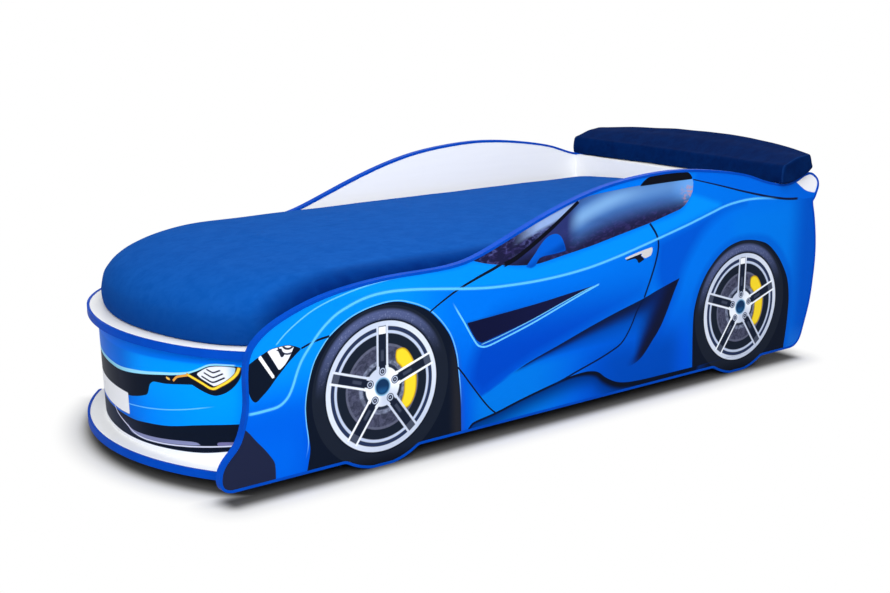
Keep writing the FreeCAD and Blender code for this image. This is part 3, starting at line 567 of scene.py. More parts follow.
def paint_wheels(p):
    """Both printed wheels: tyre, rim, brake and five pairs of spokes."""
    ramp, lay = p.ramp, p.lay
    rear = p.x.op("GREATER_THAN", (FRONT_AXLE + REAR_AXLE) / 2)
    dx = p.x - FRONT_AXLE - rear * (REAR_AXLE - FRONT_AXLE)
    dz = p.z - AXLE_Z
    r = reach(dx, dz)
    turn = dz.op("ARCTAN2", dx)
    sector = 2 * math.pi / SPOKES
    folded = (turn - math.pi / 2).op("WRAP", sector / 2, -sector / 2)
    along = r * folded.op("COSINE")
    across = abs(r * folded.op("SINE"))

    tyre = r.below(TYRE_R, 1.2)
    top_light = ramp(dz - dx * 0.15, 20, 165)
    lay((26, 33, 47), tyre)
    lay((84, 96, 142), r.between(163, 184, 8) * top_light * tyre * 0.8)
    scuffs = p.noise(4, 3)
    lay((150, 160, 196), ramp(scuffs, 0.56, 0.72, 0, 0.35) * r.between(162, 180, 4) * top_light * tyre)
    lay((18, 24, 38), r.between(RIM_RING[1], RIM_RING[1] + 4, 2))
    lay((24, 32, 46), r.below(RIM_RING[1], 1))

    disc_grain = p.noise(14, 4, distortion=1.5)
    lay((78, 81, 106), r.below(DISC_R, 1.5) * ramp(disc_grain, 0.3, 0.7, 0.35, 1))
    lay((100, 105, 128), r.between(DISC_R - 6, DISC_R, 2) * 0.6)
    lay(GREY, r.between(56, 66, 4) * ramp(disc_grain, 0.4, 0.6, 0.3, 0.9))
    lay((36, 44, 62), r.below(55, 3))
    caliper = p.distance("front_caliper").low(p.distance("rear_caliper"))
    lay((170, 130, 20), caliper.below(0, 1.5))
    lay((242, 212, 46), caliper.below(-3, 5))

    metal = p.mix((178, 190, 216), (236, 242, 252),
                  ramp((turn * 2.0 + 0.6).op("SINE"), -1, 1, 0.25, 1))
    lay((186, 199, 226), r.between(*INNER_RING, 2))
    lay((38, 50, 82), r.between(*GROOVE_RING, 2))
    lay(metal, r.between(*RIM_RING, 1.6))
    lay((190, 202, 226), r.between(*RIM_RING, 1.6) * 0.55)
    lay(SLATE, across.below(11, 1.5) * along.between(48, 146, 3))
    lay((112, 122, 150), across.below(4, 3) * along.between(60, 88, 6) * 0.22)
    spoke_end = across.below(10, 1.5) * along.between(INNER_RING[0] - 0.5, GROOVE_RING[1], 1.5)
    lay(GREY, spoke_end * 0.22)
    lay((238, 242, 250), spoke_end * ramp(dz, 100, 125))
    lay(metal, across.between(*SPOKE_LINE, 1.4) * along.between(26, 150, 1))
    star = across.below(SPOKE_LINE[1] + 0.9, 1) * along.between(-60, STAR_R + 2, 2)
    lay(metal, star.high(r.below(STAR_R, 2)))
    lay(SLATE, across.below(8.6, 1.5) * along.between(38, 62, 3))

    bolt = reach(along - BOLT_PLACE, across)
    lay((40, 48, 70), bolt.below(10.2, 1.5))
    lay((176, 188, 212), bolt.between(5.6, 8.2, 1.2))
    lay((22, 28, 44), bolt.below(5.2, 1))
    lay((140, 150, 176), bolt.below(2.4, 1))
    lay((120, 176, 216), r.below(CAP_R + 3, 3))
    lay((20, 50, 88), r.below(CAP_R, 4))
    lay((36, 98, 156), r.below(CAP_R - 4.5, 8) * ramp(dz, 5, -18, 0, 0.8))

    for axle in (FRONT_AXLE, REAR_AXLE):
        lay(GROUND, ramp(p.z, 40, 8, 0, 0.6) * abs(p.x - axle).below(150, 20))


# The rings in the headlight's glass are round this place.
LAMP_RINGS = (-812, 345)


def paint_side_lamp(p):
    """The corner of the bumper and the headlight with its glass and rings."""
    p.lay((30, 36, 62), p.mask("bumper_patch"))
    p.lay(INK, p.mask("headlight"))
    p.lay((238, 241, 250), p.mask("lamp_bar"))
    glass = p.mask("lamp_glass")
    p.lay((232, 236, 247), glass)
    rings = reach(p.x - LAMP_RINGS[0], p.z - LAMP_RINGS[1])
    p.lay((46, 50, 66), rings.between(14, 19, 1) * glass)
    p.lay((60, 64, 82), rings.between(26, 30, 1) * glass)
    p.lay((34, 38, 54), p.mask("lamp_dark"))


def paint_vent(p):
    """The air vent on the door and the light lines round its lower edge."""
    p.lay(NAVY, p.mask("vent"))
    p.lay((12, 16, 44), p.mask("vent", 12) * p.ramp(p.x, -300, 60, 0.6, 0))
    p.lay((14, 16, 34), p.stroke("vent_edge_inner", 3.6, 6, 60))
    p.lay(SKY_LINE, p.stroke("vent_edge", 4.2, 40, 6))
    p.lay((110, 196, 248), p.stroke("vent_edge_inner", 2.6, 8, 24) * 0.9)


def paint_hollows(p):
    """The dark sweep across the door, the blade before the rear wheel and the sill."""
    ramp = p.ramp
    top_gap, top_run, _ = p.line("swoosh_top")
    blade_gap, _, blade_rest = p.line("blade_edge")
    sweep = top_gap.below(0, 1.2) * ramp(top_run, 0, 60) * blade_gap.below(0, 1.4)
    depth = top_gap / ramp(top_run, 20, 540, 9, 94)
    p.lay((2, 40, 124), (1.15 + depth).high(0.0).low(1.0) * sweep * 0.95)
    p.lay((14, 26, 58), ramp(depth, -0.6, -0.04) * sweep * 0.95)
    depth = blade_gap / ramp(blade_rest, 0, 200, 16, 84)
    p.lay((8, 34, 96), ramp(depth, -1.5, -0.3) * sweep * ramp(blade_rest, 0, 70))
    p.lay((16, 22, 50), ramp(depth, -0.95, -0.2) * sweep * ramp(blade_rest, 20, 90))
    sill_gap, sill_run, _ = p.line("sill_top")
    sill = sill_gap.below(0, 1.4)
    p.lay((0, 44, 116), ramp(sill_gap, -66, -2, 0, 0.95) * sill)
    p.lay((10, 18, 36), ramp(sill_gap / ramp(sill_run, 330, 520, 9, 26), -1, -0.35) * sill)


def paint_seams(p):
    """The gaps round the door and the bonnet."""
    p.lay((8, 24, 64), p.stroke("door_bottom", 5, 20, 4))
    p.lay((8, 26, 70), p.stroke("door_rear", 6.4, 4, 6))
    p.lay(INK, p.stroke("door_upper", 4.2, 4, 2, 8))
    p.lay(INK, p.stroke("door_lower", 4.2))
    p.lay(INK, p.stroke("hood_seam", 4.6, 3, 3, 5.5))


def paint_window(p):
    """The side window with printed reflections, the pillar, and the dark foot of the mirror."""
    x, z, ramp = p.x, p.z, p.ramp
    flecks = p.noise(10, 4, stretch=(2, 1, 1), distortion=0.6)
    haze = p.noise(60, 3, stretch=(3, 1, 1), distortion=0.6)
    glass = p.mask("window")
    pillar_gap = p.line("pillar")[0]
    ahead = glass * pillar_gap.below(0, 2)
    behind = glass * pillar_gap.below(0, 2).invert()
    p.lay((28, 28, 60), glass)
    p.lay((62, 54, 112), glass * ramp(flecks, 0.45, 0.75, 0, 0.6))
    p.lay((104, 120, 184), ahead * ramp(flecks + haze, 1, 1.4, 0, 0.6))
    p.lay((150, 178, 228), ahead * p.distance("window").between(-26, -2, 9) * ramp(x, -175, -70, 0, 0.85))
    p.lay((20, 20, 40), behind * ramp(pillar_gap, 44, 4, 0, 0.8))
    p.lay((44, 56, 120), behind * ramp(z - 0.17 * x, 430, 500, 0, 0.7))

    glow = abs(p.line("window_glow")[0])
    lit = glass * ramp(x, 10, 70)
    p.lay((70, 120, 190), lit * ramp(glow, 78, 8, 0, 0.95) * (0.55 + haze * 0.8))
    p.lay((140, 188, 234), lit * ramp(glow, 34, 0, 0, 0.62) * ramp(x, 330, 150, 0.35, 1))
    p.lay((104, 168, 242), glass * ramp(x, 380, 470, 0, 0.75) * ramp(z, 520, 560))
    sunset = ramp(x, 420, 468) * ramp(abs(z - 548.0), 34, 10) * ramp(flecks, 0.42, 0.6, 0, 0.8)
    p.lay((196, 140, 132), glass * sunset)
    p.lay(FRAME, p.stroke("pillar", 10, 2, 10, 13))
    p.lay(FRAME, glass * ramp(x, -190, -90) * ramp(x, -40, -110, 0, 0.8) * ramp(z, 462, 430))


def paint_trim(p):
    """Roof, mirror, door handle, rear crease and fin, and the two light lines over the side."""
    p.lay((13, 15, 24), p.mask("roof_patch"))
    p.lay((4, 90, 204), p.mask("mirror"))
    p.lay((0, 54, 150), p.mask("mirror", 8) * p.ramp(p.z - 0.4 * p.x, 480, 452, 0, 0.8))
    p.lay((204, 204, 206), p.mask("handle"))
    p.lay((18, 20, 34), p.mask("handle_dark"))
    p.lay((14, 24, 60), p.stroke("rear_crease", 3.4, 4, 10, 7))
    p.lay((240, 242, 250), p.mask("fin_patch"))
    p.lay((190, 205, 240), p.mask("fin_patch", 9).invert() * p.mask("fin_patch") * 0.6)
    p.lay((60, 158, 255), p.stroke("pin_lower", 11, 10, 120) * 0.22)
    p.lay((96, 194, 250), p.stroke("pin_lower", 5.6, 10, 120) * 0.9)
    p.lay(SKY_LINE, p.stroke("pin_upper", 3, 6, 80) * 0.85)


def side_print():
    """The print of both side panels, painted from the body to the trim."""
    p = Print("side_print")
    for paint in (paint_body, paint_arches, paint_wheels, paint_side_lamp, paint_vent, paint_hollows,
                  paint_seams, paint_window, paint_trim):
        paint(p)
    return p.laminate()


# ---- the bent front panel

NOSE_APEX, NOSE_R, NOSE_SIDE_R, NOSE_ANGLE = -1016.0, 595.0, 405.0, math.radians(22)
PANEL_FOOT, PANEL_TOP, PANEL_LEAN = 47.7, 309.0, 8.0
# The printed sheet's half width, its rows of points, and its gaps to the shelf and the rim board.
PRINT_HALF, PRINT_ROWS, FOOT_GAP, TOP_GAP = 400.5, 64, 0.4, 2.2
# The middle of the print's design and where its far half lies on the panel: the number plate is wide
# and starts near the panel's middle, so the far half is stretched and the far lamp stands further round.
FAR_PLACES = (32.0, 225.0, 300.0, 402.0)
FAR_DESIGN = (32.0, -18.0, -200.0, -340.0)


def nose_point(y, z, proud=0.0):
    """A point on the front panel's outer face, proud of it by that much."""
    mid = NOSE_APEX + NOSE_R
    join_y = NOSE_R * math.sin(NOSE_ANGLE)
    share = NOSE_SIDE_R / NOSE_R
    if abs(y) <= join_y:
        centre, radius = (mid, 0.0), NOSE_R
    else:
        centre = (mid - (NOSE_R - NOSE_SIDE_R) * math.cos(NOSE_ANGLE),
                  math.copysign(join_y * (1 - share), y))
        radius = NOSE_SIDE_R
    turn = math.asin((y - centre[1]) / radius)
    radius += proud
    lean = PANEL_LEAN * (1 - (z - PANEL_FOOT) / (PANEL_TOP - PANEL_FOOT))
    return (centre[0] - radius * math.cos(turn) + lean, centre[1] + radius * math.sin(turn), z)


# The lower edge of the intake, where the white foot starts.
INTAKE_FOOT = [(-410, 106), (-360, 93), (-321, 84), (-254, 70.5), (-150, 61.5), (-60, 57), (34, 55)]

FRONT_AREAS = {
    "grille": [
        [(34, 214), (0, 216), (-40, 220.5), (-100, 229.5), (-160, 239.8), (-200, 246), (-244, 257.5)],
        [(-244, 257.5), (-250, 232)],
        [(-250, 232), (-221, 228), (-195, 224), (-169, 220.5), (-143, 219), (-130, 217.5), (-120, 212),
         (-114, 204), (-110, 193), (-106, 185), (-100, 179.5), (-90, 176), (-71, 170), (-50, 165),
         (-25, 160.5), (34, 158)]],
    "lamp_case": [
        [(-238, 256), (-262, 267), (-283, 279), (-300, 283.5), (-335, 285), (-349, 284)],
        [(-349, 284), (-348.5, 274), (-344, 255), (-332, 235), (-317, 221), (-301, 213.5),
         (-288, 213.5), (-268, 220.5), (-244, 232)],
        [(-244, 232), (-238, 256)]],
    "lamp_face": [
        [(-258, 259), (-270, 268), (-284, 277), (-300, 281.5), (-320, 283), (-338, 282)],
        [(-338, 282), (-334, 262), (-326, 252), (-314, 244), (-302, 238), (-295, 235)],
        [(-295, 235), (-280, 243), (-266, 251), (-258, 259)]],
    "plate": [[(-18, 165.5), (34, 165.5)], [(34, 109), (-18, 111)]],
    "intake": [
        [(34, 104), (-40, 104.5), (-100, 110.5), (-160, 117.5), (-200, 125), (-260, 138), (-330, 149),
         (-410, 160)],
        INTAKE_FOOT],
    "white_foot": [INTAKE_FOOT, [(34, 40), (-410, 40)]],
}

FRONT_LINES = {
    "bonnet_edge": [(34, 218.5), (0, 220.5), (-40, 225), (-100, 233), (-160, 243), (-200, 249.5),
                    (-240, 258.5), (-265, 270.5), (-283, 281), (-300, 285.5), (-340, 287)],
    "lamp_rim": [(-231, 255), (-252, 247), (-273, 237), (-286, 229.5), (-296, 229), (-306, 236),
                 (-320, 246), (-334, 260), (-341, 271), (-345, 284)],
    "lamp_v1": [(-268, 256), (-281, 249), (-293, 243.5), (-306, 250), (-319, 258)],
    "lamp_v2": [(-274, 265), (-284, 259.5), (-294, 255), (-305, 260.5), (-316, 267)],
    "lamp_v3": [(-280, 273.5), (-287, 270), (-295, 266.5), (-303, 270), (-311, 274)],
    "indicator": [(-193, 231), (-199, 237), (-206, 243.5), (-220, 248), (-238, 253)],
    "indicator_end": [(-173, 238), (-180, 234), (-186, 235)],
    "front_pin": [(34, 136.5), (-20, 138.5), (-40, 140.5), (-100, 147.5), (-160, 156.5), (-200, 164),
                  (-240, 173), (-298, 188)],
    "upper_step": [(34, 270), (-40, 272), (-130, 276), (-221, 281), (-288, 285)],
}

# The lip under the intake starts in a curl beside the plate and has no mirrored half.
LIP_AREAS = {
    "lip_grey": [
        [(2, 90), (-12, 79), (-40, 75.5), (-100, 78.5), (-160, 84.5), (-215, 91.5), (-243, 94),
         (-262, 90.5)],
        [(-262, 90.5), (-240, 86), (-200, 80), (-160, 75), (-100, 69.5), (-40, 66.5), (-18, 69),
         (-4, 78), (2, 90)]],
    "lip_end": [
        [(-294, 100), (-300, 103), (-330, 107), (-352, 110)], [(-352, 104), (-325, 99), (-294, 94)]],
}

LIP_LINES = {
    "lip_line": [(79, 113), (69, 105), (59, 98), (46, 93), (31, 88.5), (14, 84), (-2, 79.5), (-18, 74),
                 (-40, 68.5), (-70, 66.5), (-100, 67.5), (-160, 72.5), (-220, 80), (-290, 91),
                 (-350, 102)],
}


def front_sheet():
    """The printed face of the bent front panel."""
    ys = [-PRINT_HALF]
    while ys[-1] < PRINT_HALF:
        # The panel's length over one millimetre across, so that the cells stay even round the bend.
        pace = 1.0
        if ys[-1] + 1 < PRINT_HALF:
            here, there = (Vector(nose_point(y, PANEL_TOP)) for y in (ys[-1], ys[-1] + 1))
            pace = (there - here).length
        ys.append(min(ys[-1] + CELL / max(pace, 1.0), PRINT_HALF))
    rows = np.linspace(PANEL_FOOT + FOOT_GAP, PANEL_TOP - TOP_GAP, PRINT_ROWS)
    vertices = [tuple(c * MM for c in nose_point(y, z, FRONT_PROUD)) for y in ys for z in rows]
    count = len(rows)
    faces = [(i * count + j, (i + 1) * count + j, (i + 1) * count + j + 1, i * count + j + 1)[::-1]
             for i in range(len(ys) - 1) for j in range(count - 1)]
    flat = np.array([(y if y < FAR_PLACES[0] else np.interp(y, FAR_PLACES, FAR_DESIGN), z)
                     for y in ys for z in rows])
    obj = new_object("front_print", vertices, faces)
    store_shapes(obj, flat, FRONT_AREAS, FRONT_LINES)
    store_shapes(obj, np.array([(y, z) for y in ys for z in rows]), LIP_AREAS, LIP_LINES)
    store(obj, "across", flat[:, 0])
    obj.data.materials.append(front_print())
    obj.data.shade_smooth()


def front_print():
    """The nose's print: bonnet edge, grille, lamps, number plate, intake and lip."""
    p = Print("front_print")
    ramp, mask, stroke = p.ramp, p.mask, p.stroke
    q = p.distance("across")
    p.colour = p.mix((0, 106, 222), (0, 148, 255), ramp(q, 20, -110))
    p.lay((0, 112, 240), ramp(p.line("upper_step")[0], 4, -4, 0, 0.9))
    p.lay((0, 108, 238), ramp(p.z, 232, 120, 0, 0.7) * ramp(q, 0, -260, 1, 0.2))
    p.lay((150, 222, 252), stroke("bonnet_edge", 9, 2, 6, 4))
    p.lay(INK, mask("grille"))
    p.lay((34, 40, 58), mask("grille", 30) * ramp(q, -60, 30, 0, 0.5))
    p.lay(SKY_LINE, stroke("front_pin", 2.6, 4, 50) * 0.8)

    p.lay(INK, mask("lamp_case"))
    p.lay((228, 232, 244), mask("lamp_face"))
    p.lay((120, 190, 220), mask("lamp_face", 3) * ramp(q, -318, -340, 0, 0.8))
    for name, width in (("lamp_v1", 3.6), ("lamp_v2", 3.4), ("lamp_v3", 3.4)):
        p.lay((26, 30, 46), stroke(name, width, 3, 3))
    p.lay((120, 84, 20), stroke("lamp_rim", 7.6, 3, 3))
    p.lay((252, 212, 62), stroke("lamp_rim", 5, 3, 3))
    p.lay((226, 158, 66), stroke("indicator", 5.2, 3, 3))
    p.lay((240, 190, 90), stroke("indicator_end", 5, 3, 3))

    p.lay(INK, mask("intake"))
    p.lay((44, 52, 76), mask("intake", 22) * ramp(q, -130, 20, 0, 0.5))
    p.lay((236, 239, 246), mask("white_foot"))
    p.lay((128, 134, 176), mask("lip_grey"))
    p.lay((112, 110, 158), mask("lip_end"))
    p.lay((206, 211, 238), stroke("lip_line", 3.2, 2, 20))
    p.lay((150, 156, 170), mask("plate", 0.8))
    p.lay((238, 240, 246), p.distance("plate").below(-1.2, 0.8))
    return p.laminate()


# ---- plain materials

def white_laminate():
    """White melamine board: fine pearl grain and hardly visible long brush marks."""
    shade = Shade("white_laminate")
    grain = shade.noise(1.1, 3)
    brush = shade.noise(9, stretch=(14, 1, 1))
    tone = shade.mix((247, 248, 248), (239, 240, 240), brush * 0.5 + grain * 0.2)
    shade.bump(grain, 0.05, 0.4)
    return shade.set(base_color=tone, roughness=0.38 + grain * 0.12, specular_ior_level=0.3)


def blue_edging():
    """Flexible U-shaped edging: satin plastic, a little cloudy."""
    shade = Shade("blue_edging")
    cloud = shade.noise(60)
    grain = shade.noise(0.8)
    tone = shade.mix((2, 62, 168), (6, 78, 194), cloud)
    shade.bump(grain, 0.04, 0.35)
    return shade.set(base_color=tone, roughness=0.36 + grain * 0.1, specular_ior_level=0.01)


# How strongly the noise is folded into light and dark growth rings.
RING_WAVES = 26.0


def pine(name, grain_along):
    """Planed pine: growth rings drawn out along the piece, with fine pores."""
    shade = Shade(name)
    rings = shade.noise(11, 4, stretch=grain_along, distortion=0.6)
    bands = (rings * RING_WAVES).op("SINE") * 0.5 + 0.5
    pores = shade.noise(1, 3, stretch=tuple(v * 4 for v in grain_along))
    tone = shade.mix((222, 182, 128), (182, 132, 78), bands * 0.55 + pores * 0.3)
    shade.bump(pores, 0.12, 0.5)
    return shade.set(base_color=tone, roughness=0.62 + pores * 0.15, specular_ior_level=0.3)


def zinc():
    """Zinc-plated steel with a fine spangle."""
    shade = Shade("zinc_steel")
    spangle = shade.noise(2.2, 3)
    tone = shade.mix((188, 192, 198), (226, 228, 232), spangle)
    shade.bump(spangle, 0.03, 0.4)
    return shade.set(base_color=tone, metallic=1.0, roughness=0.28 + spangle * 0.16)


def velvet(name, deep, main, bright, sheen, painted_shade=None, seam=None):
    """Short-pile velvet: blotches where the pile leans, streaks left by a hand, and a soft sheen.

    shaded is the colour of a painted shade that darkens the velvet low on the mattress and along its
    sides; seam is how far from the middle an end seam lies, whose lighter line is a painted highlight."""
    shade = Shade(name)
    _, y, z = shade.place()
    blotch = shade.noise(46, 4, distortion=0.5, roughness=0.6)
    streak = shade.noise(15, 3, stretch=(1.8, 1, 1), distortion=0.9)
    pile = shade.noise(1.3)
    lean = shade.ramp(blotch * 0.55 + streak * 0.45, 0.34, 0.66)
    tone = shade.mix(main, bright, lean * 0.45)
    tone = shade.mix(tone, deep, pile * 0.24 + shade.ramp(streak, 0.58, 0.8, 0, 0.2))
    if painted_shade is not None:
        # Painted shade: the velvet is darkened along the mattress's sides next to the panels and low down,
        # where shade falls.
        beside = shade.ramp(abs(y), 330, 396)
        low = shade.ramp(z, 440, 335, 0, 0.5)
        tone = shade.mix(tone, painted_shade, beside.high(low) * (0.7 + blotch * 0.6))
    if seam is not None:
        # The end seam is a lighter line, a painted highlight along the cushion's end edge.
        tone = shade.mix(tone, SEAM_HIGHLIGHT_BLUE, abs(abs(y) - seam).below(1.5, 4) * 0.3)
    shade.bump(pile * 0.6 + streak * 0.4, 0.45, 0.45)
    return shade.set(base_color=tone, roughness=0.95, specular_ior_level=0.03, sheen_weight=sheen,
                     sheen_roughness=0.42, sheen_tint=bright)


# ---- soft pieces

HEADBOARD_X = 823.6
MATTRESS_HALF, MATTRESS_NOSE, MATTRESS_R = 399.0, -1004.0, 583.0
MATTRESS_ANGLE = math.radians(28)
MATTRESS_FOOT, MATTRESS_HEIGHT = 325.3, 169.0
MATTRESS_REAR = HEADBOARD_X - 2.6
MATTRESS_CORNER, MATTRESS_REAR_ROUND = 30.0, 16.0
# Levels up the mattress: share of the height, draw-in of the sides, extra draw-back of the nose.
MATTRESS_LEVELS = np.array([
    (0.0, 12, 0), (0.012, 7, 0), (0.06, 2.5, 0), (0.18, 0, 0), (0.385, 0, 6), (0.545, 3, 22), (0.68, 8, 48),
    (0.78, 15, 82), (0.858, 28, 120), (0.905, 60, 150), (0.941, 120, 170), (0.976, 200, 150),
    (0.994, 290, 80), (1.0, 380, 10),
])


def monotone(knots, values, at):
    """Smooth interpolation that doesn't overshoot (Fritsch-Carlson)."""
    knots, values = np.asarray(knots, float), np.asarray(values, float)
    width = np.diff(knots)
    rise = np.diff(values) / width
    slope = np.zeros(len(values))
    slope[0], slope[-1] = rise[0], rise[-1]
    for i in range(1, len(values) - 1):
        if rise[i - 1] * rise[i] > 0:
            slope[i] = 2 * rise[i - 1] * rise[i] / (rise[i - 1] + rise[i])
    i = np.clip(np.searchsorted(knots, at, side="right") - 1, 0, len(width) - 1)
    t = (at - knots[i]) / width[i]
    return ((1 + 2 * t) * (1 - t) ** 2 * values[i] + t * (1 - t) ** 2 * width[i] * slope[i]
            + t * t * (3 - 2 * t) * values[i + 1] + t * t * (t - 1) * width[i] * slope[i + 1])


def mattress_ring(inset, nose_inset):
    """Plan outline of the mattress at one level, as evenly shared points."""
    half = MATTRESS_HALF - inset
    radius = MATTRESS_R * half / MATTRESS_HALF
    corner = (half - radius * math.sin(MATTRESS_ANGLE)) / (1 - math.sin(MATTRESS_ANGLE))
    mid = MATTRESS_NOSE + inset + nose_inset + radius
    join = (mid - radius * math.cos(MATTRESS_ANGLE), radius * math.sin(MATTRESS_ANGLE))
    side = (join[0] + (mid - join[0]) * corner / radius, join[1] - join[1] * corner / radius)
    rear = MATTRESS_REAR - min(inset, MATTRESS_REAR_ROUND)
    bend = min(MATTRESS_CORNER, half * 0.5)
    points = []

    def sweep(centre, r, start, end, count):
        for angle in np.linspace(start, end, count, endpoint=False):
            points.append((centre[0] + r * math.cos(angle), centre[1] + r * math.sin(angle)))

    def straight(a, b, count):
        for t in np.linspace(0, 1, count, endpoint=False):
            points.append((a[0] + (b[0] - a[0]) * t, a[1] + (b[1] - a[1]) * t))

    # The last number of each part is its count of points.
    angle = MATTRESS_ANGLE
    sweep((mid, 0), radius, math.pi + angle, math.pi - angle, 60)
    sweep(side, corner, math.pi - angle, math.pi / 2, 36)
    straight((side[0], half), (rear - bend, half), 120)
    sweep((rear - bend, half - bend), bend, math.pi / 2, 0, 12)
    straight((rear, half - bend), (rear, bend - half), 60)
    sweep((rear - bend, bend - half), bend, 0, -math.pi / 2, 12)
    straight((rear - bend, -half), (side[0], -half), 120)
    sweep((side[0], -side[1]), corner, 1.5 * math.pi, math.pi + angle, 36)
    return points


def close_rings(name, rings, body):
    """A closed mesh through rings with the same number of points, capped at both ends."""
    count = len(rings[0])
    vertices = [point for ring in rings for point in ring]
    faces = []
    for level in range(len(rings) - 1):
        for i in range(count):
            j = (i + 1) % count
            low, high = level * count, (level + 1) * count
            faces.append((low + i, low + j, high + j, high + i))
    faces.append(tuple(range(count))[::-1])
    faces.append(tuple(range((len(rings) - 1) * count, len(rings) * count)))
    obj = new_object(name, vertices, faces, body)
    mesh = bmesh.new()
    mesh.from_mesh(obj.data)
    bmesh.ops.recalc_face_normals(mesh, faces=mesh.faces)
    mesh.to_mesh(obj.data)
    mesh.free()
    obj.data.shade_smooth()
    return obj


# A ripple goes in further than out, so that the piece keeps its size.
RIPPLE_SINK = 0.35


def ripple(obj, amount, scale, seed):
    """Soft unevenness of a stuffed surface, along its normals."""
    for vertex, normal in zip(obj.data.vertices, [n.vector.copy() for n in obj.data.vertex_normals]):
        place = vertex.co / (scale * MM) + Vector((seed, 0, 0))
        vertex.co += normal * (noise.noise(place) - RIPPLE_SINK) * amount * MM


def mattress():
    """The mattress: level rings from its flat foot to its domed top, in velvet."""
    levels = np.concatenate([np.linspace(0, 0.18, 10), np.linspace(0.2, 0.86, 30),
                             np.linspace(0.87, 1.0, 30)])
    insets = monotone(MATTRESS_LEVELS[:, 0], MATTRESS_LEVELS[:, 1], levels)
    noses = monotone(MATTRESS_LEVELS[:, 0], MATTRESS_LEVELS[:, 2], levels)
    rings = []
    for level, inset, nose in zip(levels, insets, noses):
        height = MATTRESS_FOOT + level * MATTRESS_HEIGHT
        rings.append([(x * MM, y * MM, height * MM) for x, y in mattress_ring(inset, nose)])
    obj = close_rings("mattress", rings, "mattress")
    ripple(obj, 1.6, 160.0, 3.0)
    # The last colour is the painted shade along the mattress's sides and low down.
    obj.data.materials.append(velvet("blue_velvet", deep=(4, 56, 128), main=(6, 74, 156),
                                     bright=(24, 92, 178), sheen=0.15, painted_shade=(0, 36, 104)))
    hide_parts("mattress_cover", "mattress_core")


# The round seat in the side panels: its lowest point, its radius, and where it turns straight.
SEAT_X, SEAT_Z, SEAT_R = 884.0, 536.5, 160.0
SEAT_REAR, SEAT_GAP = 71.0, 0.6
PAD_HALF, PAD_FRONT, PAD_DEPTH = 438.0, 852.0, 129.0
PAD_FRONT_BOW, PAD_REAR_BOW, PAD_REAR_RISE = 44.0, 76.0, 19.0
PAD_NOSE_HEIGHT, PAD_TAIL_HEIGHT, PAD_SEAM = 56.0, 53.0, 434.0
# The stuffing pushes the front out by this much, and the free ends curl up from the seat over this span.
PAD_PUFF, PAD_CURL, CURL_SPAN = 9.0, 8.0, (416, 432)
# Points round a section, sections between the rounded ends, and how long those ends are.
PAD_POINTS, PAD_SECTIONS, PAD_END = 96, 72, 16.0


def seat_height(x):
    """Height of the cushion's under-side: round on the seat, then straight, then up to its rear bow."""
    radius = SEAT_R - SEAT_GAP
    run = min(x - SEAT_X, SEAT_REAR)
    slope = SEAT_REAR / math.sqrt(radius ** 2 - SEAT_REAR ** 2)
    bend = PAD_FRONT + PAD_DEPTH
    straight = max(min(x, bend) - SEAT_X - SEAT_REAR, 0)
    behind = max(x - bend, 0) / PAD_REAR_BOW
    return (SEAT_Z + SEAT_R - math.sqrt(radius ** 2 - run ** 2) + straight * slope
            + behind * PAD_REAR_RISE)


def spoiler_ring(y, shrink):
    """Cross-section of the spoiler cushion at one place, drawn in by shrink near its ends."""
    share = 1 - (y / PAD_HALF) ** 2
    front = PAD_FRONT + PAD_FRONT_BOW * share - PAD_PUFF
    rear = PAD_FRONT + PAD_DEPTH + PAD_REAR_BOW * share
    depth = rear - front
    curl = PAD_CURL * float(np.interp(abs(y), CURL_SPAN, (0, 1)))

    def foot(part):
        return front + depth * part, seat_height(front + depth * part) + curl * min(1.0, part * 2)

    low_front, low_rear = seat_height(front), seat_height(rear)
    top_front, top_rear = low_front + PAD_NOSE_HEIGHT, low_rear + PAD_TAIL_HEIGHT
    corners = [
        # the under-side, from the front to the rear
        (front, low_front), foot(0.25), foot(0.5), foot(0.75),
        # the tail, round at both its edges
        (rear - 6, low_rear - 1 + curl), (rear, low_rear + 7 + curl), (rear - 4, low_rear + 24),
        (rear - 10, top_rear - 10), (rear - 14, top_rear - 3), (rear - 22, top_rear),
        # the top, a little crowned
        (front + depth * 0.7, top_front + (top_rear - top_front) * 0.7 + 4.5),
        (front + depth * 0.45, top_front + (top_rear - top_front) * 0.45 + 5.5),
        # the nose, a little bulged
        (front + 20, top_front + 1), (front + 7, top_front - 3), (front + 1, top_front - 10),
        (front - 2, top_front - 28), (front - 2.5, low_front + 16),
    ]
    closed = smooth_run(corners + corners[:1], 4.0)
    run = np.concatenate([[0], np.cumsum(np.hypot(*np.diff(closed, axis=0).T))])
    at = np.linspace(0, run[-1], PAD_POINTS, endpoint=False)
    xs, zs = np.interp(at, run, closed[:, 0]), np.interp(at, run, closed[:, 1])
    middle = np.array([xs.mean(), zs.mean()])
    out = []
    for x, z in zip(xs, zs):
        gap = np.array([x, z]) - middle
        length = np.hypot(*gap)
        x, z = middle + gap * max(0.0, 1 - shrink / length)
        out.append((x * MM, y * MM, z * MM))
    return out


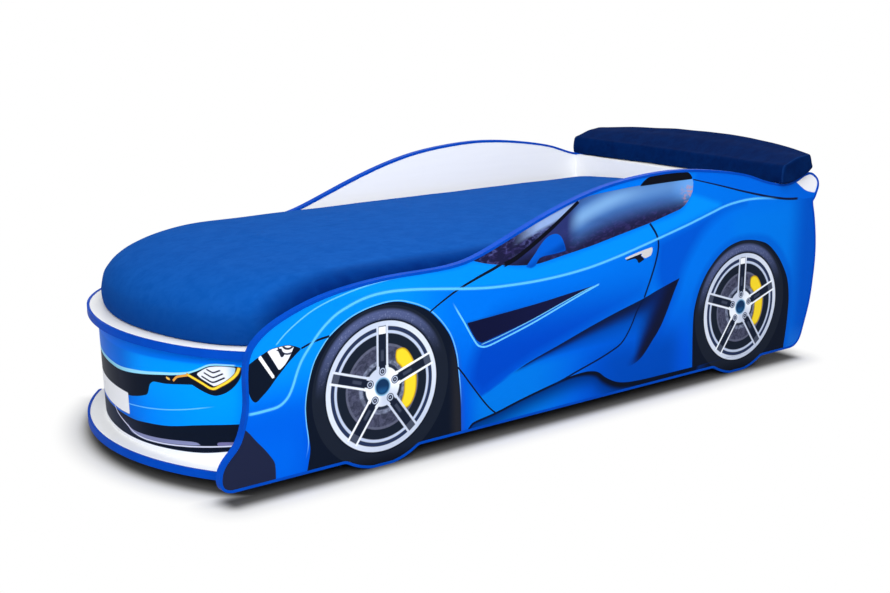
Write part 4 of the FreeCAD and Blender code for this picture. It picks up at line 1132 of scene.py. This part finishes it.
def spoiler():
    """The spoiler cushion: cross-sections from end to end, the last ones drawn in to round its ends."""
    ends = [(PAD_HALF - 0.6, 16.0), (PAD_HALF, 7.0), (PAD_HALF - 1.2, 2.6), (PAD_HALF - 4.0, 0.8),
            (PAD_HALF - 8.0, 0.2)]
    rings = [spoiler_ring(-y, shrink) for y, shrink in ends]
    rings += [spoiler_ring(y, 0.0) for y in np.linspace(PAD_END - PAD_HALF, PAD_HALF - PAD_END, PAD_SECTIONS)]
    rings += [spoiler_ring(y, shrink) for y, shrink in reversed(ends)]
    obj = close_rings("spoiler_pad", rings, "bed")
    ripple(obj, 1.4, 90.0, 11.0)
    # The end seams get a painted highlight.
    obj.data.materials.append(velvet("navy_velvet", deep=(0, 10, 42), main=(0, 24, 72),
                                     bright=(0, 40, 98), sheen=0.05, seam=PAD_SEAM))
    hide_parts("spoiler_cushion", "spoiler_core")


# ---- dressing the CAD nodes

def paint_nodes():
    """Give every CAD node the material that its name calls for."""
    laminate, edge, steel = white_laminate(), blue_edging(), zinc()
    # Beams and rails lie along X, slats along Y.
    beams, slats = pine("pine", (9, 1, 1)), pine("pine_slats", (1, 9, 1))
    for name, obj in NODES.items():
        if name.endswith("edging"):
            material = edge
        elif name.endswith(("screws", "brackets")):
            material = steel
        elif name.startswith("slat_"):
            material = slats
        elif name.endswith(("rail", "beam")):
            material = beams
        else:
            material = laminate
        obj.data.materials.clear()
        obj.data.materials.append(material)


# ---- floor, light and camera

WHITE = (255, 255, 255)
WORLD_LIGHT = 0.5
# The bed's footprint: the circle of its nose, its box, and the long foot of its left side.
NOSE_X, NOSE_REACH = -421.0, 615.0
BOX = ((-1036.0, 950.0), (-415.0, 415.0))
LEFT_FOOT = ((-955.0, 950.0), (-418.0, -400.0))
# A painted contact shadow makes the floor dark next to the footprint and pale this far from it, and the floor
# is plain white further off.
PAINTED_SHADOW_GREY, PAINTED_SHADOW_FADE, SHADOW_FADE = (84, 84, 84), 55.0, 115.0


def plainly_seen(tree):
    """1 for what the camera sees, itself or in a reflection or through glass, and 0 for the light."""
    path = tree.add("ShaderNodeLightPath")
    camera, glossy, through = (Num(tree, path.outputs[name])
                               for name in ("Is Camera Ray", "Is Glossy Ray", "Is Transmission Ray"))
    return camera.high(glossy).high(through)


def outside(x, y, x_range, y_range):
    """Distance on the floor from a rectangle, 0 inside it."""
    past_x = (x_range[0] - x).high(x - x_range[1]).high(0.0)
    past_y = (y_range[0] - y).high(y - y_range[1]).high(0.0)
    return reach(past_x, past_y)


def floor_plane():
    """A pale floor that keeps the bed's shadow, with a painted contact shadow next to the bed's footprint,
    and fades to plain white further off.
    """
    shade = Shade("floor_paint")
    x, y, _ = shade.place()
    grain = shade.noise(400, 1)
    tone = shade.mix((206, 206, 206), (210, 210, 210), grain)
    white = shade.add("ShaderNodeEmission", Color=WHITE)
    nose = reach(x - NOSE_X, y) - NOSE_REACH
    nose = nose.high(0.0) * x.op("LESS_THAN", NOSE_X)
    away = outside(x, y, *BOX).high(nose).low(outside(x, y, *LEFT_FOOT))
    # Painted contact shadow: the floor's colour goes to dark grey next to the footprint.
    tone = shade.mix(PAINTED_SHADOW_GREY, tone, shade.ramp(away, 0, PAINTED_SHADOW_FADE))
    shade.set(base_color=tone, roughness=0.9, specular_ior_level=0.0)
    share = shade.ramp(away, 0, SHADOW_FADE) * plainly_seen(shade)
    blend = shade.add("ShaderNodeMixShader")
    for socket, value in zip(blend.inputs, (share, shade.shader.outputs[0], white.outputs[0])):
        shade.feed(socket, value)
    shade.feed(shade.output.inputs[0], blend.outputs[0])
    bpy.ops.mesh.primitive_plane_add(size=60, location=(0, 0, 0))
    floor = bpy.context.active_object
    floor.name = "floor"
    floor.data.materials.append(shade.material)


def white_world():
    """White where it is seen, and at a plain level where it lights the bed."""
    world = bpy.data.worlds.new("studio")
    bpy.context.scene.world = world
    world.use_nodes = True
    tree = Tree(world.node_tree)
    back = world.node_tree.nodes["Background"]
    tree.feed(back.inputs["Color"], WHITE)
    tree.feed(back.inputs["Strength"], plainly_seen(tree) * (1 - WORLD_LIGHT) + WORLD_LIGHT)


# Name, place, target, size and watts of each lamp.
LAMPS = [
    ("key", (-3.0, -3.4, 2.9), (0, 0, 0.3), (3.0, 2.4), 200),
    ("inside", (-0.1, -0.9, 2.1), (0.4, 0.3, 0.5), (1.8, 0.9), 18),
    ("rear", (3.0, 3.2, 3.4), (0, 0, 0.3), (3.0, 2.4), 60),
]


def lamp(name, place, target, size, power):
    """An area lamp that faces its target."""
    data = bpy.data.lights.new(name, "AREA")
    data.shape = "RECTANGLE"
    data.size, data.size_y = size
    data.energy = power
    obj = bpy.data.objects.new(name, data)
    bpy.context.scene.collection.objects.link(obj)
    obj.location = place
    obj.rotation_euler = (Vector(target) - Vector(place)).to_track_quat("-Z", "Y").to_euler()


# The camera that was fitted to the photograph: its place in metres, its turn and its lens.
CAMERA_PLACE = Vector((-2.2822, -2.8445, 1.1269))
CAMERA_RIGHT = Vector((0.78717, -0.61674, 0.00371))
CAMERA_UP = Vector((0.14181, 0.18685, 0.97210))
CAMERA_LENS = 54.07


def photo_camera():
    """The photograph's own camera."""
    data = bpy.data.cameras.new("camera")
    data.sensor_width = 36.0
    data.lens = CAMERA_LENS
    data.clip_end = 100.0
    camera = bpy.data.objects.new("camera", data)
    bpy.context.scene.collection.objects.link(camera)
    back = CAMERA_RIGHT.cross(CAMERA_UP).normalized()
    turn = Matrix((CAMERA_RIGHT, CAMERA_UP, back)).transposed().to_4x4()
    camera.matrix_world = Matrix.Translation(CAMERA_PLACE) @ turn
    bpy.context.scene.camera = camera


bpy.context.scene.view_settings.view_transform = "Standard"
photo_camera()
floor_plane()
white_world()
for row in LAMPS:
    lamp(*row)
paint_nodes()
livery = side_print()
side_sheet("left", -1, livery)
side_sheet("right", 1, livery)
front_sheet()
mattress()
spoiler()
